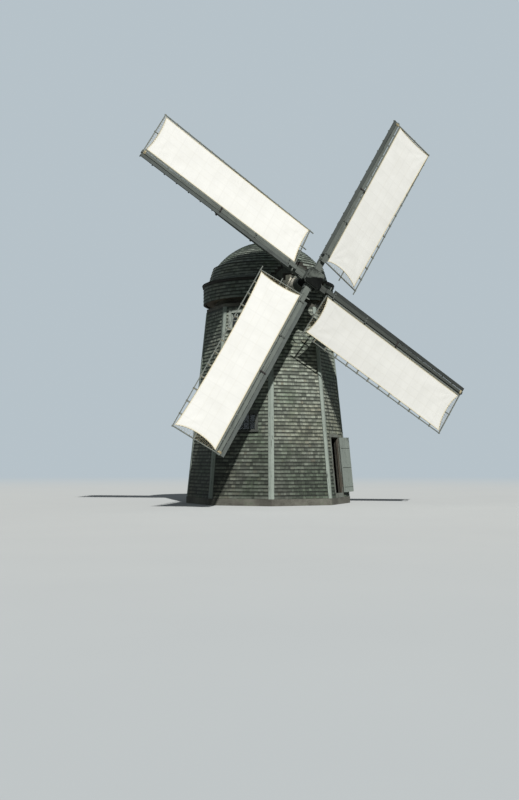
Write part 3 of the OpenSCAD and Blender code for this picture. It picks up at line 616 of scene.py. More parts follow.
# %% Finishes on the CAD parts
part_finishes = [
    (sill_finish, "sill_ring top_plate curb cap_ring cap_skids"),
    (sheathing_finish, "window_wall plain_walls_a plain_walls_b door_wall_left door_wall_right door_wall_over"),
    (sheathing_finish, "cap_skirt cap_front_wall cap_roof"),
    (corner_finish, "corner_boards"),
    (plank_finish, "floor_joists ground_floor upper_floor cap_floor"),
    (beam_finish, "cap_frame"),
    (trim_in_painted_shade_finish, "lower_window_frame"),
    (trim_finish, "upper_window_frame"),
    (casing_finish, "door_casing"),
    (glass_finish, "lower_window_glass upper_window_glass"),
    (door_finish, "door_leaf"),
    (iron_finish, "door_straps door_pintles"),
    (shaft_finish, "windshaft"),
    (poll_finish, "poll_end"),
    (strap_finish, "poll_bands whip_clamps"),
    (spar_finish, "stock_a stock_b whips"),
    (leading_finish, "leading_boards"),
    (lattice_finish, "sail_frame_1 sail_frame_2 sail_frame_3 sail_frame_4"),
    (canvas_finish, "sail_cloth_1 sail_cloth_2 sail_cloth_3 sail_cloth_4"),
]
done = 0
for finish, names in part_finishes:
    for name in names.split():
        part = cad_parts[name]
        if not part.material_slots:
            part.data.materials.append(finish)
        for slot in part.material_slots:
            slot.material = finish
        done += 1
print("finished", done, "of", len(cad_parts), "CAD parts")

# %% [markdown]
# ## Tools for shaping
# Each new piece starts from a primitive at its size, is shaped in edit mode and then has its place
# written into its mesh, so that the object itself stays at the origin. Selection is made in code by
# where the points are.

# %% Shaping helpers
def select_where(piece, test, faces=False):
    """Opens the piece in edit mode with only those points, or faces, selected that pass the test."""
    bpy.ops.object.mode_set(mode="EDIT")
    bpy.ops.mesh.select_mode(type="FACE" if faces else "VERT")
    bpy.ops.mesh.select_all(action="DESELECT")
    bpy.ops.object.mode_set(mode="OBJECT")
    for item in piece.data.polygons if faces else piece.data.vertices:
        item.select = test(item if faces else item.co)
    bpy.ops.object.mode_set(mode="EDIT")


def edit_all():
    """Goes to edit mode with everything selected."""
    bpy.ops.object.mode_set(mode="EDIT")
    bpy.ops.mesh.select_all(action="SELECT")


def finished(piece, name, finish, smooth=None):
    """Names the piece, gives it its finish and leaves it at the origin."""
    bpy.ops.object.mode_set(mode="OBJECT")
    settle()
    piece.name = piece.data.name = name
    piece.data.materials.clear()
    piece.data.materials.append(finish)
    if smooth:
        bpy.ops.object.shade_smooth_by_angle(angle=math.radians(smooth))
    return piece


def away_with(model):
    mesh = model.data
    bpy.data.objects.remove(model)
    bpy.data.meshes.remove(mesh)


def linked(name, data):
    """A new object in the scene that shows the mesh or curve."""
    piece = bpy.data.objects.new(name, data)
    bpy.context.collection.objects.link(piece)
    return piece


def rides(piece, body):
    """Lets the piece ride on one of the four bodies."""
    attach(piece, body)


print("helpers ready")

# %% [markdown]
# ## Shingles
# The walls, the cap's drum and front, and its dome are hung with split shingles, in courses about
# 130 mm apart. A texture could draw the lines, but it would leave the outline smooth and the courses
# without shadows, so every shingle is a small wedge. One wedge is modelled from a cube, and its
# points are then laid over each surface, course by course, with its own width, tone and grain.

# %% One shingle
# Across is X from -0.5 to 0.5, up the slope is Y from 0 at the butt to 1 at the head, Z is its height
# off the surface, where 1 is the front of the butt.
head_thinner, butt_raised, butt_eased = 0.76, 0.42, 0.045
deselect()
bpy.ops.mesh.primitive_cube_add(size=1, location=(0, 0.5, 0.5))
shingle = bpy.context.object
settle()
select_where(shingle, lambda p: p.y > 0.9 and p.z > 0.5)
bpy.ops.transform.translate(value=(0, 0, -head_thinner))
select_where(shingle, lambda p: p.y < 0.1 and p.z < 0.5)
bpy.ops.transform.translate(value=(0, 0, butt_raised))
select_where(shingle, lambda p: p.y < 0.1 and p.z > 0.9)
bpy.ops.mesh.bevel(offset=butt_eased, segments=1, affect="EDGES")
shingle = finished(shingle, "one_shingle", wall_shingle_finish)
shingle_points = np.array([p.co for p in shingle.data.vertices])
shingle_faces = [list(f.vertices) for f in shingle.data.polygons]
away_with(shingle)
print("one shingle:", len(shingle_points), "points,", len(shingle_faces), "faces")

# %% A course of shingles
exposure = 0.130
shingle_length = 0.172
shingle_width = 0.128
least_width = least_height = 0.03


def course(rng, start, end, low, high, turn=0.0, mean=shingle_width):
    """Shingles side by side from start to end, as rows of (left, right, butt, head, turn)."""
    if end - start < least_width or high - low < least_height:
        return []
    count = max(1, round((end - start) / mean))
    widths = rng.uniform(0.62, 1.45, count)
    edges = start + np.concatenate([[0], np.cumsum(widths / widths.sum())]) * (end - start)
    return [(edges[i], edges[i + 1], low, high, turn) for i in range(count)]


print("a course of 2 m has about", round(2 / shingle_width), "shingles")

# %% Laying shingles on a surface
butt_out = 0.026
side_gap = 0.002
full_height = 0.1


def lay_shingles(name, cells, surface, finish, rng):
    """Lays one wedge in each cell. The surface turns (across, up, off, turn) into points."""
    cells = np.array(cells)
    count, size = len(cells), len(shingle_points)
    x, y, z = (shingle_points[:, i][None, :] for i in range(3))
    left, right, low, high, turn = (cells[:, i][:, None] for i in range(5))
    low = low + rng.uniform(-0.005, 0.004, (count, 1)) * (high - low > full_height)
    skew = rng.uniform(-0.03, 0.03, (count, 1))
    lift = rng.uniform(0.90, 1.0, (count, 1))
    across = left + side_gap + (x + 0.5) * (right - left - 2 * side_gap)
    up = low + y * (high - low) + (across - (left + right) / 2) * skew * (1 - y)
    off = z * butt_out * lift
    points = surface(across, up, off, turn + 0 * across)
    mesh = bpy.data.meshes.new(name)
    mesh.from_pydata(points.reshape(-1, 3).tolist(), [],
                     [[v + first for v in face] for first in range(0, count * size, size) for face in shingle_faces])
    tone = mesh.attributes.new("tone", "FLOAT", "POINT")
    tone.data.foreach_set("value", np.repeat(rng.beta(1.3, 1.2, count), size).astype(np.float32))
    own = mesh.attributes.new("grain_place", "FLOAT_VECTOR", "POINT")
    start = rng.uniform(0, 40, (count, 1))
    own_place = np.stack([across - left + start, 0.3 * start + off, up - low], axis=2)
    own.data.foreach_set("vector", own_place.reshape(-1).astype(np.float32))
    mesh.materials.append(finish)
    print(name, count, "shingles")
    return linked(name, mesh)


# %% The walls and their openings
wall_foot, wall_top = 0.2435, 7.178
corner_board, board_gap = 0.095, 0.003


def face_matrix(azimuth):
    """The frame of a wall: X sideways, Y inward, Z up the slope."""
    return (Matrix.Rotation(math.radians(azimuth), 4, "Z") @ Matrix.Translation((0, -base_in, 0))
            @ Matrix.Rotation(-lean, 4, "X"))


def half_width(up):
    """Half the width that a wall has for shingles, between its corner boards."""
    return (base_in - face_slope * up * math.cos(lean)) * math.tan(half_side) - corner_board - board_gap


# Each window is its middle, its foot, its width and its height on the wall.
lower_window = (0.10, 2.64, 0.80, 0.66)
upper_window = (-0.27, 6.33, 0.74, 0.64)
casing_out, sill_out, sill_low, sill_high = 0.073, 0.103, 0.043, 0.003
door_x, door_w, door_h = -0.08, 0.88, 2.04
door_z = 0.40 / math.cos(lean)
door_casing_out, door_head_out, door_head_high, door_gap = 0.093, 0.113, 0.103, 0.003


def casing_holes(window):
    """What a window's casing and its longer sill take out of the shingles."""
    x, z, w, h = window
    return [(x - w / 2 - casing_out, x + w / 2 + casing_out, z - sill_low, z + h + casing_out),
            (x - w / 2 - sill_out, x + w / 2 + sill_out, z - sill_low, z + sill_high)]


door_left, door_right, door_top = door_x - door_w / 2, door_x + door_w / 2, door_z + door_h
door_holes = [(door_left - door_casing_out, door_right + door_casing_out, door_z - door_gap, door_top),
              (door_left - door_head_out, door_right + door_head_out, door_top - 0.002, door_top + door_head_high),
              (door_left - door_gap, door_right + door_gap, 0, door_z)]
wall_holes = {0: casing_holes(lower_window) + casing_holes(upper_window), 90: door_holes}
print("openings", sum(len(holes) for holes in wall_holes.values()))

# %% Shingles on the eight walls
low_strip = 0.045
least_strip = 0.02


def cut_round(spans, hole):
    """Takes a hole out of a course's spans of (start, end, low, high)."""
    left, right, bottom, top = hole
    kept = []
    for start, end, low, high in spans:
        if right <= start or left >= end or top <= low or bottom >= high:
            kept.append((start, end, low, high))
            continue
        kept += [(start, min(end, left), low, high), (max(start, right), end, low, high)]
        if bottom > low:
            kept.append((max(start, left), min(end, right), low, bottom))
        if top < high - low_strip:
            kept.append((max(start, left), min(end, right), top, high))
    return [s for s in kept if s[1] - s[0] > least_strip and s[3] - s[2] > least_strip]


def wall_surface(wall):
    """A surface for shingles that lies on the wall."""
    m = np.array(wall)
    return lambda across, up, off, turn: np.stack([across, -off, up], axis=2) @ m[:3, :3].T + m[:3, 3]


for azimuth in range(0, 360, 45):
    rng = np.random.default_rng(100 + azimuth)
    cells = []
    for low in np.arange(wall_foot, wall_top - 0.05, exposure):
        high = min(low + shingle_length, wall_top)
        spans = [(-half_width(high), half_width(high), low, high)]
        for hole in wall_holes.get(azimuth, []):
            spans = cut_round(spans, hole)
        for span in spans:
            cells += course(rng, *span)
    surface = wall_surface(face_matrix(azimuth))
    rides(lay_shingles(f"wall_shingles_{azimuth:03d}", cells, surface, wall_shingle_finish, rng),
          "tower")

# %% [markdown]
# ## The cap's covering
# The cap has a low round drum, a flat front where the windshaft comes out, a kicked eave and a dome.
# The drum and dome are surfaces of revolution, so a course there is a ring: the shingles' places are
# measured round the ring in metres and turned into an angle. The front cuts the rings short.

# %% Shingles on the drum
front = 2.05
drum_r = 2.43
drum_foot, drum_top, front_top = 7.428, 8.054, 8.40
cap_exposure, cap_length = 0.126, 0.165
rng = np.random.default_rng(7)


def on_cap(x, y, z):
    """Points of the cap's own frame, turned to where the cap stands."""
    return np.stack([x, y, z], axis=2) @ np.array(cap_matrix)[:3, :3].T


def ring_surface(angle, r, z):
    return on_cap(r * np.sin(angle), -r * np.cos(angle), z)


def drum_surface(across, up, off, turn):
    return ring_surface(across * turn, drum_r + off, up)


cells = []
drum_edge = math.acos(front / drum_r) + 0.012
for i in range(5):
    low = drum_foot + i * cap_exposure
    cells += course(rng, drum_edge * drum_r, (2 * math.pi - drum_edge) * drum_r,
                    low, min(low + cap_length, drum_top), 1 / drum_r)
rides(lay_shingles("drum_shingles", cells, drum_surface, roof_shingle_finish, rng), "cap")

# %% Shingles on the front wall
hatch_left, hatch_right, hatch_foot, hatch_top = -0.465, -0.105, 7.965, 8.300
shaft_hole = 0.36
shaft_centre = hub_height - (hub_out - front) * math.tan(shaft_tilt)
drum_inside, lip_inside, top_inside = 2.375, 2.14, 1.897
drum_head, lip_head, roof_head = 8.06, 8.23, 8.722


def front_half(z):
    """Half the width of the front wall at a height, inside the roof."""
    if z < drum_head:
        inside = drum_inside
    elif z < lip_head:
        inside = lip_inside
    else:
        inside = lip_inside - (lip_inside - top_inside) * (z - lip_head) / (roof_head - lip_head)
    return math.sqrt(max(0, inside ** 2 - front ** 2)) - 0.012


def front_surface(across, up, off, turn):
    return on_cap(across, -front - off, up)


cells = []
for i in range(8):
    low = drum_foot + i * cap_exposure
    high = min(low + cap_length, front_top)
    reach = min(front_half(low + 0.01), front_half(high))
    spans = cut_round([(-reach, reach, low, high)], (hatch_left - 0.003, hatch_right + 0.003, hatch_foot, hatch_top))
    nearest = 0.0 if low < shaft_centre < high else min(abs(low - shaft_centre), abs(high - shaft_centre))
    if nearest < shaft_hole:
        gap = math.sqrt(shaft_hole ** 2 - nearest ** 2)
        spans = [s for span in spans for s in cut_round([span], (-gap, gap, low, high))]
    for span in spans:
        cells += course(rng, *span)
rides(lay_shingles("front_shingles", cells, front_surface, roof_shingle_finish, rng), "cap")

# %% Outline of the eave and dome
dome_r, dome_centre, dome_foot = 2.43, 7.37, 8.78
eave_r, eave_z, lip_r, lip_z = 2.492, 8.1185, 2.24, 8.232
kick_in, kick_rise, kick_steps, dome_steps = 0.16, 0.528, 8, 60
arc_angle = math.acos((dome_foot - dome_centre) / dome_r)
profile = [(eave_r, eave_z), (lip_r, lip_z)]
for i in range(1, kick_steps + 1):
    profile.append((lip_r - kick_in * i / kick_steps, lip_z + kick_rise * i / kick_steps))
for i in range(dome_steps + 1):
    angle = arc_angle * (1 - i / dome_steps)
    profile.append((dome_r * math.sin(angle), dome_centre + dome_r * math.cos(angle)))
profile = np.array(profile)
profile_at = np.concatenate([[0], np.cumsum(np.hypot(*np.diff(profile, axis=0).T))])
print("from eave to top", round(float(profile_at[-1]), 3), "m over the roof")

# %% Shingles on the eave and dome
roof_front = 2.11


def on_profile(up):
    """The radius and height of the roof at a length up from its eave."""
    return np.interp(up, profile_at, profile[:, 0]), np.interp(up, profile_at, profile[:, 1])


def dome_surface(across, up, off, turn):
    r, z = on_profile(up)
    (r_above, z_above), (r_below, z_below) = on_profile(up + 0.015), on_profile(up - 0.015)
    dr, dz = r_above - r_below, z_above - z_below
    size = np.hypot(dr, dz)
    return ring_surface(across * turn, r + off * dz / size, z - off * dr / size)


cells = []
step_at = float(profile_at[kick_steps + 1])
lows = [step_at * i / 7 for i in range(7)] + list(np.arange(step_at, profile_at[-1] - 0.16, exposure * 0.985))
for low in lows:
    r = float(on_profile(low)[0])
    outer = r + butt_out
    first = math.acos((roof_front - 0.004) / outer) if outer > roof_front else 0.0
    end_at = (step_at if low < step_at - 0.01 else profile_at[-1]) - 0.02
    cells += course(rng, first * r, (2 * math.pi - first) * r, low, min(low + shingle_length, end_at), 1 / r,
                    shingle_width if r > 0.6 else 0.10)
rides(lay_shingles("dome_shingles", cells, dome_surface, roof_shingle_finish, rng), "cap")

# %% Boards on the flat front of the roof
# The boards leave a notch for the hatch and the collar of the shaft.
notch_half, notch_top, brow_rows = 0.490, 8.315, 24
brow_foot, brow_top, brow_gap, brow_thick = 8.100, 8.655, 0.011, 0.022


def brow_half(z):
    """Half the width of the flat cut at the front of the roof at a height."""
    outer = float(np.interp(z, [eave_z, lip_z, lip_z + kick_rise], [eave_r, lip_r, lip_r - kick_in]))
    return math.sqrt(max(0, outer ** 2 - roof_front ** 2))


def thickened(piece, thickness):
    """Gives a thin skin its thickness, half of it to each side."""
    bpy.ops.object.mode_set(mode="OBJECT")
    solid = piece.modifiers.new("thickness", "SOLIDIFY")
    solid.thickness = thickness
    solid.offset = 0
    bpy.ops.object.modifier_apply(modifier=solid.name)


deselect()
bpy.ops.mesh.primitive_grid_add(x_subdivisions=3, y_subdivisions=brow_rows, size=1)
brow = bpy.context.object
for point in brow.data.vertices:
    z = float(np.interp(point.co.y + 0.5, [0, 0.25, 1], [brow_foot, notch_top, brow_top]))
    half = brow_half(z)
    reach = half if abs(point.co.x) > 0.4 else min(notch_half, 0.72 * half)
    point.co = (math.copysign(reach, point.co.x), -roof_front - brow_gap, z)
select_where(brow, lambda face: face.center.z < notch_top and abs(face.center.x) < 0.1, faces=True)
bpy.ops.mesh.delete(type="FACE")
thickened(brow, brow_thick)
brow = finished(brow, "roof_brow", brow_finish)
brow.data.transform(cap_matrix)
rides(brow, "cap")
print("brow boards", len(brow.data.polygons), "faces")

# %% Crown of the dome
# A round board over the last ring keeps the rain out, with a low turned boss on it.
crown_steps = ((0.035, 0.008), (0.075, 0.012), (0.02, 0.045), (0.035, 0.02))
deselect()
bpy.ops.mesh.primitive_cylinder_add(vertices=32, radius=0.20, depth=0.03, location=(0, 0, 9.822))
crown = bpy.context.object
select_where(crown, lambda face: face.normal.z > 0.9, faces=True)
for inset, rise in crown_steps:
    bpy.ops.mesh.inset(thickness=inset)
    bpy.ops.transform.translate(value=(0, 0, rise))
crown = finished(crown, "cap_crown", sill_finish, smooth=35)
rides(crown, "cap")
print("crown top", round(max(p.co.z for p in crown.data.vertices), 3))

# %% Collar round the shaft
collar_place = (0, -front - 0.03, shaft_centre)
collar_flatter = 0.42
deselect()
bpy.ops.mesh.primitive_torus_add(major_segments=48, minor_segments=8, major_radius=0.325, minor_radius=0.04,
                                 location=collar_place, rotation=(math.pi / 2, 0, 0))
collar = bpy.context.object
settle()
edit_all()
bpy.ops.transform.resize(value=(1, collar_flatter, 1), center_override=collar_place)
collar = finished(collar, "shaft_collar", shaft_finish, smooth=40)
collar.data.transform(cap_matrix)
rides(collar, "cap")
print("collar", len(collar.data.polygons), "faces")

# %% Hatch and corner trims of the cap
def board(name, size, centre, finish, bevel=0.004, taper=None):
    """A sawn board: a block with eased edges, its far end along Z narrowed by a taper."""
    deselect()
    bpy.ops.mesh.primitive_cube_add(size=1, location=centre, scale=size)
    piece = bpy.context.object
    settle()
    if taper:
        select_where(piece, lambda p: p.z > centre[2])
        bpy.ops.transform.resize(value=taper, center_override=(centre[0], centre[1], centre[2] + size[2] / 2))
    edit_all()
    bpy.ops.mesh.bevel(offset=bevel, segments=1, affect="EDGES")
    return finished(piece, name, finish)


def copied(name, model, places):
    """One mesh that holds a copy of the model at each of the places."""
    points = np.array([p.co for p in model.data.vertices])
    faces = [list(f.vertices) for f in model.data.polygons]
    all_points, all_faces = [], []
    for i, place in enumerate(places):
        m = np.array(place)
        all_points.append(points @ m[:3, :3].T + m[:3, 3])
        all_faces += [[v + i * len(points) for v in face] for face in faces]
    mesh = bpy.data.meshes.new(name)
    mesh.from_pydata(np.concatenate(all_points).tolist(), [], all_faces)
    mesh.materials.append(model.data.materials[0])
    return linked(name, mesh)


hatch = board("cap_hatch", (hatch_right - hatch_left, 0.034, hatch_top - hatch_foot),
              ((hatch_left + hatch_right) / 2, -front - 0.0165, (hatch_foot + hatch_top) / 2), hatch_finish)
hatch.data.transform(cap_matrix)
rides(hatch, "cap")

trim_x = drum_r * math.sin(math.acos(front / drum_r)) - 0.028
trim = board("one_trim", (0.085, 0.040, 0.625), (0, 0, 0), corner_finish)
places = [cap_matrix @ Matrix.Translation((side * trim_x, -front - 0.018, 7.7435)) for side in (-1, 1)]
rides(copied("cap_corner_trims", trim, places), "cap")
away_with(trim)
print("cap trims", len(places))

# %% [markdown]
# ## Windows
# Small lights of glass sit in a fixed sash. The sash is a grid that is inset face by face: taking out
# the inner faces leaves the bars, and pulling the skin forward gives them their thickness.

# %% Sashes with glazing bars
bar_half, rail_wider, sash_thick = 0.013, 0.020, 0.026
sash_foot, sash_in = 0.025, 0.0385


def turn_faces_out():
    edit_all()
    bpy.ops.mesh.normals_make_consistent(inside=False)


def sash(name, window, across, up, paint):
    """A sash with lights across and up, its outer rails wider than its bars."""
    x, z, w, h = window
    wide, tall = w - 0.070, h - 0.060
    deselect()
    bpy.ops.mesh.primitive_grid_add(x_subdivisions=across, y_subdivisions=up, size=1)
    piece = bpy.context.object
    piece.scale = (wide, tall, 1)
    settle()
    select_where(piece, lambda face: True, faces=True)
    bpy.ops.mesh.inset(thickness=bar_half, use_individual=True)
    bpy.ops.mesh.delete(type="FACE")
    for side in (-1, 1):
        select_where(piece, lambda p: wide / 2 - 0.02 < side * p.x < wide / 2 - 0.005)
        bpy.ops.transform.translate(value=(-side * rail_wider, 0, 0))
        select_where(piece, lambda p: tall / 2 - 0.02 < side * p.y < tall / 2 - 0.005)
        bpy.ops.transform.translate(value=(0, -side * rail_wider, 0))
    edit_all()
    bpy.ops.mesh.extrude_region_move(TRANSFORM_OT_translate={"value": (0, 0, sash_thick)})
    turn_faces_out()
    bpy.ops.mesh.bevel(offset=0.003, segments=1, affect="EDGES")
    piece = finished(piece, name, paint)
    stand = Matrix.Translation((x, sash_in, z + sash_foot + tall / 2)) @ Matrix.Rotation(math.pi / 2, 4, "X")
    piece.data.transform(face_matrix(0) @ stand)
    rides(piece, "tower")
    print(name, len(piece.data.polygons), "faces")


sash("lower_sash", lower_window, 3, 2, trim_in_painted_shade_finish)
sash("upper_sash", upper_window, 3, 2, trim_finish)

# %% [markdown]
# ## Nails, bolts and the door's latch
# Forged nails hold the corner boards and the door's ledges, and square-headed bolts draw the straps
# of the sails tight. Each is modelled once, with a few faces, and copied to its places.

# %% One nail and one bolt
def joined(piece, other):
    """The piece with the other one joined into its mesh."""
    deselect()
    other.select_set(True)
    piece.select_set(True)
    bpy.context.view_layer.objects.active = piece
    bpy.ops.object.join()
    return piece


deselect()
bpy.ops.mesh.primitive_cylinder_add(vertices=8, radius=0.008, depth=0.006, location=(0, 0, 0.001))
nail = bpy.context.object
select_where(nail, lambda p: p.z > 0)
bpy.ops.transform.resize(value=(0.6, 0.6, 1), center_override=(0, 0, 0))
nail = finished(nail, "one_nail", iron_finish)

deselect()
bpy.ops.mesh.primitive_cylinder_add(vertices=16, radius=0.032, depth=0.006, location=(0, 0, 0.003))
washer = finished(bpy.context.object, "washer", strap_finish)
bolt = joined(board("one_bolt", (0.032, 0.032, 0.024), (0, 0, 0.018), strap_finish), washer)
print("nail", len(nail.data.polygons), "bolt", len(bolt.data.polygons), "faces")

# %% Nails in the corner boards
outward = Matrix.Rotation(math.pi / 2, 4, "X")
nail_in, nail_out = 0.048, 0.0305
places = []
for azimuth in range(0, 360, 45):
    for up in np.arange(0.35, 7.1, 0.42):
        for side in (-1, 1):
            x = side * (half_width(up) + corner_board + board_gap - nail_in)
            places.append(face_matrix(azimuth) @ Matrix.Translation((x, -nail_out, up)) @ outward)
rides(copied("corner_board_nails", nail, places), "tower")
print("corner nails", len(places))

# %% Nails in the door
# The nails are placed as on the shut leaf, and then swung open with it on its hinges.
leaf_gap = 0.007
leaf_w, leaf_h = door_w - 2 * leaf_gap, door_h - 2 * leaf_gap
hinge_x, hinge_y = door_right, -0.034 - 0.014
swing = (face_matrix(90) @ Matrix.Translation((hinge_x, hinge_y, 0))
         @ Matrix.Rotation(math.radians(173), 4, "Z") @ Matrix.Translation((-hinge_x, -hinge_y, 0)))
low_ledge, middle_ledge, high_ledge = door_z + 0.26, door_z + (leaf_h - 0.07) / 2, door_z + leaf_h - 0.33
places = []
for z in (low_ledge, middle_ledge, high_ledge):
    for i in range(6 if z == middle_ledge else 1):
        x = door_left + leaf_gap + (i + 0.5) * leaf_w / 6
        for dz in (-0.034, 0.034):
            places.append(swing @ Matrix.Translation((x, -0.0342, z + dz)) @ outward)
rides(copied("door_nails", nail, places), "door")
print("door nails", len(places))

# %% Latch and ring of the door
latch_x = door_left + 0.085
latch = board("latch", (0.035, 0.010, 0.19), (latch_x, -0.039, door_z + 1.16), iron_finish, 0.003, (0.6, 1, 1))
deselect()
bpy.ops.mesh.primitive_torus_add(major_segments=24, minor_segments=8, major_radius=0.045, minor_radius=0.0065,
                                 location=(latch_x, -0.0515, door_z + 1.12), rotation=(math.pi / 2, 0, 0))
latch = joined(latch, finished(bpy.context.object, "ring", iron_finish, smooth=60))
latch.name = "door_latch"
latch.data.transform(swing)
rides(latch, "door")
print("latch", len(latch.data.polygons), "faces")

# %% [markdown]
# ## Hardware of the sails
# The whips are lapped on the stocks and held by iron straps with bolts, the stocks are wedged where
# they pass through the poll end, and rope is wound round each whip's tip.

# %% Bolts and wedges
whip_half, clamp_thick = 0.055, 0.010
clamp_places = [1.048, 2.5365, 4.025]


def stock_depth(k):
    """How far along the shaft the middle of an arm's stock lies."""
    return 0.100 if k % 2 == 0 else -0.100


def whip_depth(k):
    return stock_depth(k) - 0.150


places = [arm_matrix(k) @ Matrix.Translation((x, whip_depth(k) - whip_half - clamp_thick, s)) @ outward
          for k in range(4) for s in clamp_places for x in (-whip_half, whip_half)]
rides(copied("clamp_bolts", bolt, places), "sails")
print("bolts", len(places))

wedge = board("one_wedge", (0.052, 0.150, 0.20), (0, 0, 0), spar_finish, 0.005, (0.45, 1, 1))
places = [arm_matrix(k) @ Matrix.Translation((side * 0.139, stock_depth(k), 0.365))
          for k in range(4) for side in (-1, 1)]
rides(copied("stock_wedges", wedge, places), "sails")
away_with(wedge)
print("wedges", len(places))

# %% [markdown]
# ## The cloths
# Each sail carries one canvas on the front of its bars. It is hemmed round, with a rope sewn to the
# edge, and laced to the end bars, so its short sides are drawn in as hollow curves and its long outer
# side less so. A flat panel would look dead: the cloth sinks a little between the bars and is pulled
# into soft folds at its corners. It starts as a grid, and each point is moved to where the twisted
# lattice holds it.

# %% Shape of a cloth
# For the four cloths, clockwise from the upper left: the hollows of the heel, tip and outer hems, and
# how far the outer corners at the heel and at the tip are drawn in.
hollows = [(0.06, 0.08, 0.010, 0.010, 0.050), (0.18, 0.05, 0.005, 0.120, -0.010),
           (0.13, 0.16, 0.020, 0.110, 0.040), (0.09, 0.18, 0.125, 0.020, 0.010)]
cloth_in, cloth_out = 0.153, 1.735
cloth_heel, cloth_tip = 0.850, 7.205
cloth_wide, cloth_long = cloth_out - cloth_in, cloth_tip - cloth_heel
heel_twist, tip_twist = 12, 7
bar_face, cloth_gap, cloth_half = 0.018, 0.0008, 0.0017


def on_lattice(k, across, depth, along):
    """A point of an arm's twisted lattice, in the arm's frame: depth is 0 in the middle of its bars."""
    share = (along - bar_first) / (bar_last - bar_first)
    w = math.radians(heel_twist - (heel_twist - tip_twist) * share)
    return Vector((across * math.cos(w) - depth * math.sin(w),
                   whip_depth(k) + across * math.sin(w) + depth * math.cos(w), along))


def folds(k, u, v):
    """How far the pull of the four corners lifts the canvas into folds."""
    height = 0.0
    for cu, cv in ((0, 0), (1, 0), (0, 1), (1, 1)):
        du, dv = (u - cu) * cloth_wide, (v - cv) * cloth_long
        reach = math.hypot(du, dv)
        angle = math.atan2(abs(dv), abs(du) + 1e-6)
        wave = 0.5 + 0.5 * math.cos(angle * 13 + k + cu)
        height += 0.010 * math.exp(-reach / 0.85) * wave * min(1, reach / 0.15)
    return height


def cloth_place(k, u, v, lift=0.0):
    """A point of a cloth in its arm's frame: u across from the whip, v along from the heel."""
    heel, tip, side, drawn_heel, drawn_tip = hollows[k]
    bow = (4 * u * (1 - u)) ** 0.85
    low, high = cloth_heel + heel * bow, cloth_tip - tip * bow
    s = low + (high - low) * v
    outer = cloth_out - side * (4 * v * (1 - v)) ** 0.7 - drawn_heel * (1 - v) - drawn_tip * v
    inside = max(0.0, min(1.0, 6 * u, 6 * (1 - u), 8 * v, 8 * (1 - v)))
    sink = 0.0032 * math.sin(math.pi * (s - bar_first) / bar_pitch) ** 2 * inside
    slack = 0.007 * (0.5 + 0.5 * math.sin(5.1 * u + 2.3 * v + 1.7 * k)) * inside
    depth = -bar_face - cloth_gap - cloth_half + sink - folds(k, u, v) - slack - lift
    return on_lattice(k, cloth_in + (outer - cloth_in) * u, depth, s)


print("cloth", round(cloth_wide, 3), "by", round(cloth_long, 3), "m")

# %% Four cloths
canvas_thick = 0.0028


def cloth(k):
    """One canvas, and the area of one of its sides."""
    deselect()
    bpy.ops.mesh.primitive_grid_add(x_subdivisions=26, y_subdivisions=104, size=1, location=(0.5, 0.5, 0))
    piece = bpy.context.object
    settle()
    mesh = piece.data
    mesh.uv_layers.new(name="cloth")
    for other in [layer.name for layer in mesh.uv_layers if layer.name != "cloth"]:
        mesh.uv_layers.remove(mesh.uv_layers[other])
    plan = [(p.co.x, p.co.y) for p in mesh.vertices]
    for loop in mesh.loops:
        u, v = plan[loop.vertex_index]
        mesh.uv_layers["cloth"].data[loop.index].uv = (u * cloth_wide, v * cloth_long)
    hem = mesh.attributes.new("hem", "FLOAT", "POINT")
    hem.data.foreach_set("value", [min(min(u, 1 - u) * cloth_wide, min(v, 1 - v) * cloth_long)
                                   for u, v in plan])
    for point, (u, v) in zip(mesh.vertices, plan):
        point.co = arm_matrix(k) @ cloth_place(k, u, v)
    area = sum(face.area for face in mesh.polygons)
    turn_faces_out()
    thickened(piece, canvas_thick)
    return finished(piece, f"canvas_{k + 1}", canvas_finish, smooth=50), area


cloths = [cloth(k) for k in range(4)]
print("cloth areas", [round(area, 2) for piece, area in cloths])

# %% [markdown]
# ## Ropes of the sails
# A rope is sewn into each hem, and a thinner line laces the short hems to the end bars and ties the
# outer hem to the rail. They are drawn as curves with a round section and turned into mesh, which
# keeps every strand a clean tube.

# %% A rope
def rope(name, lines, radius, closed=False, sides=1):
    """Tubes along lists of points, as one mesh."""
    deselect()
    curve = bpy.data.curves.new(name, "CURVE")
    curve.dimensions = "3D"
    curve.bevel_depth = radius
    curve.bevel_resolution = sides
    curve.use_fill_caps = not closed
    for line in lines:
        spline = curve.splines.new("POLY")
        spline.points.add(len(line) - 1)
        for point, co in zip(spline.points, line):
            point.co = (*co, 1)
        spline.use_cyclic_u = closed
    piece = linked(name, curve)
    piece.select_set(True)
    bpy.context.view_layer.objects.active = piece
    bpy.ops.object.convert(target="MESH")
    turn_faces_out()
    return finished(bpy.context.object, name, rope_finish, smooth=70)


print("rope helper ready")

# %% Paths of the lacing
lace_turns = 15
lace_front, lace_behind = 0.006, -0.042
rail_in, rail_out, rail_behind = 1.738, 1.783, -0.037


def bar_front(k, s, c, lift):
    """A point before the front of a bar, or behind it where lift is below 0, in its arm's frame."""
    return on_lattice(k, c, -bar_face - lift, s)


def lacing(k):
    """A line that goes back and forth between the hem and the bar, at the heel and at the tip."""
    lines = []
    for v, bar_s in ((0.004, bar_first), (0.996, bar_last)):
        line = []
        for i in range(lace_turns + 1):
            u = 0.03 + 0.94 * i / lace_turns
            c = cloth_in + (cloth_out - cloth_in) * (u + 0.47 / lace_turns)
            line += [cloth_place(k, u, v, 0.008), bar_front(k, bar_s, c, lace_front)]
            if i < lace_turns:
                line.append(bar_front(k, bar_s, c, lace_behind))
        lines.append([arm_matrix(k) @ p for p in line])
    return lines


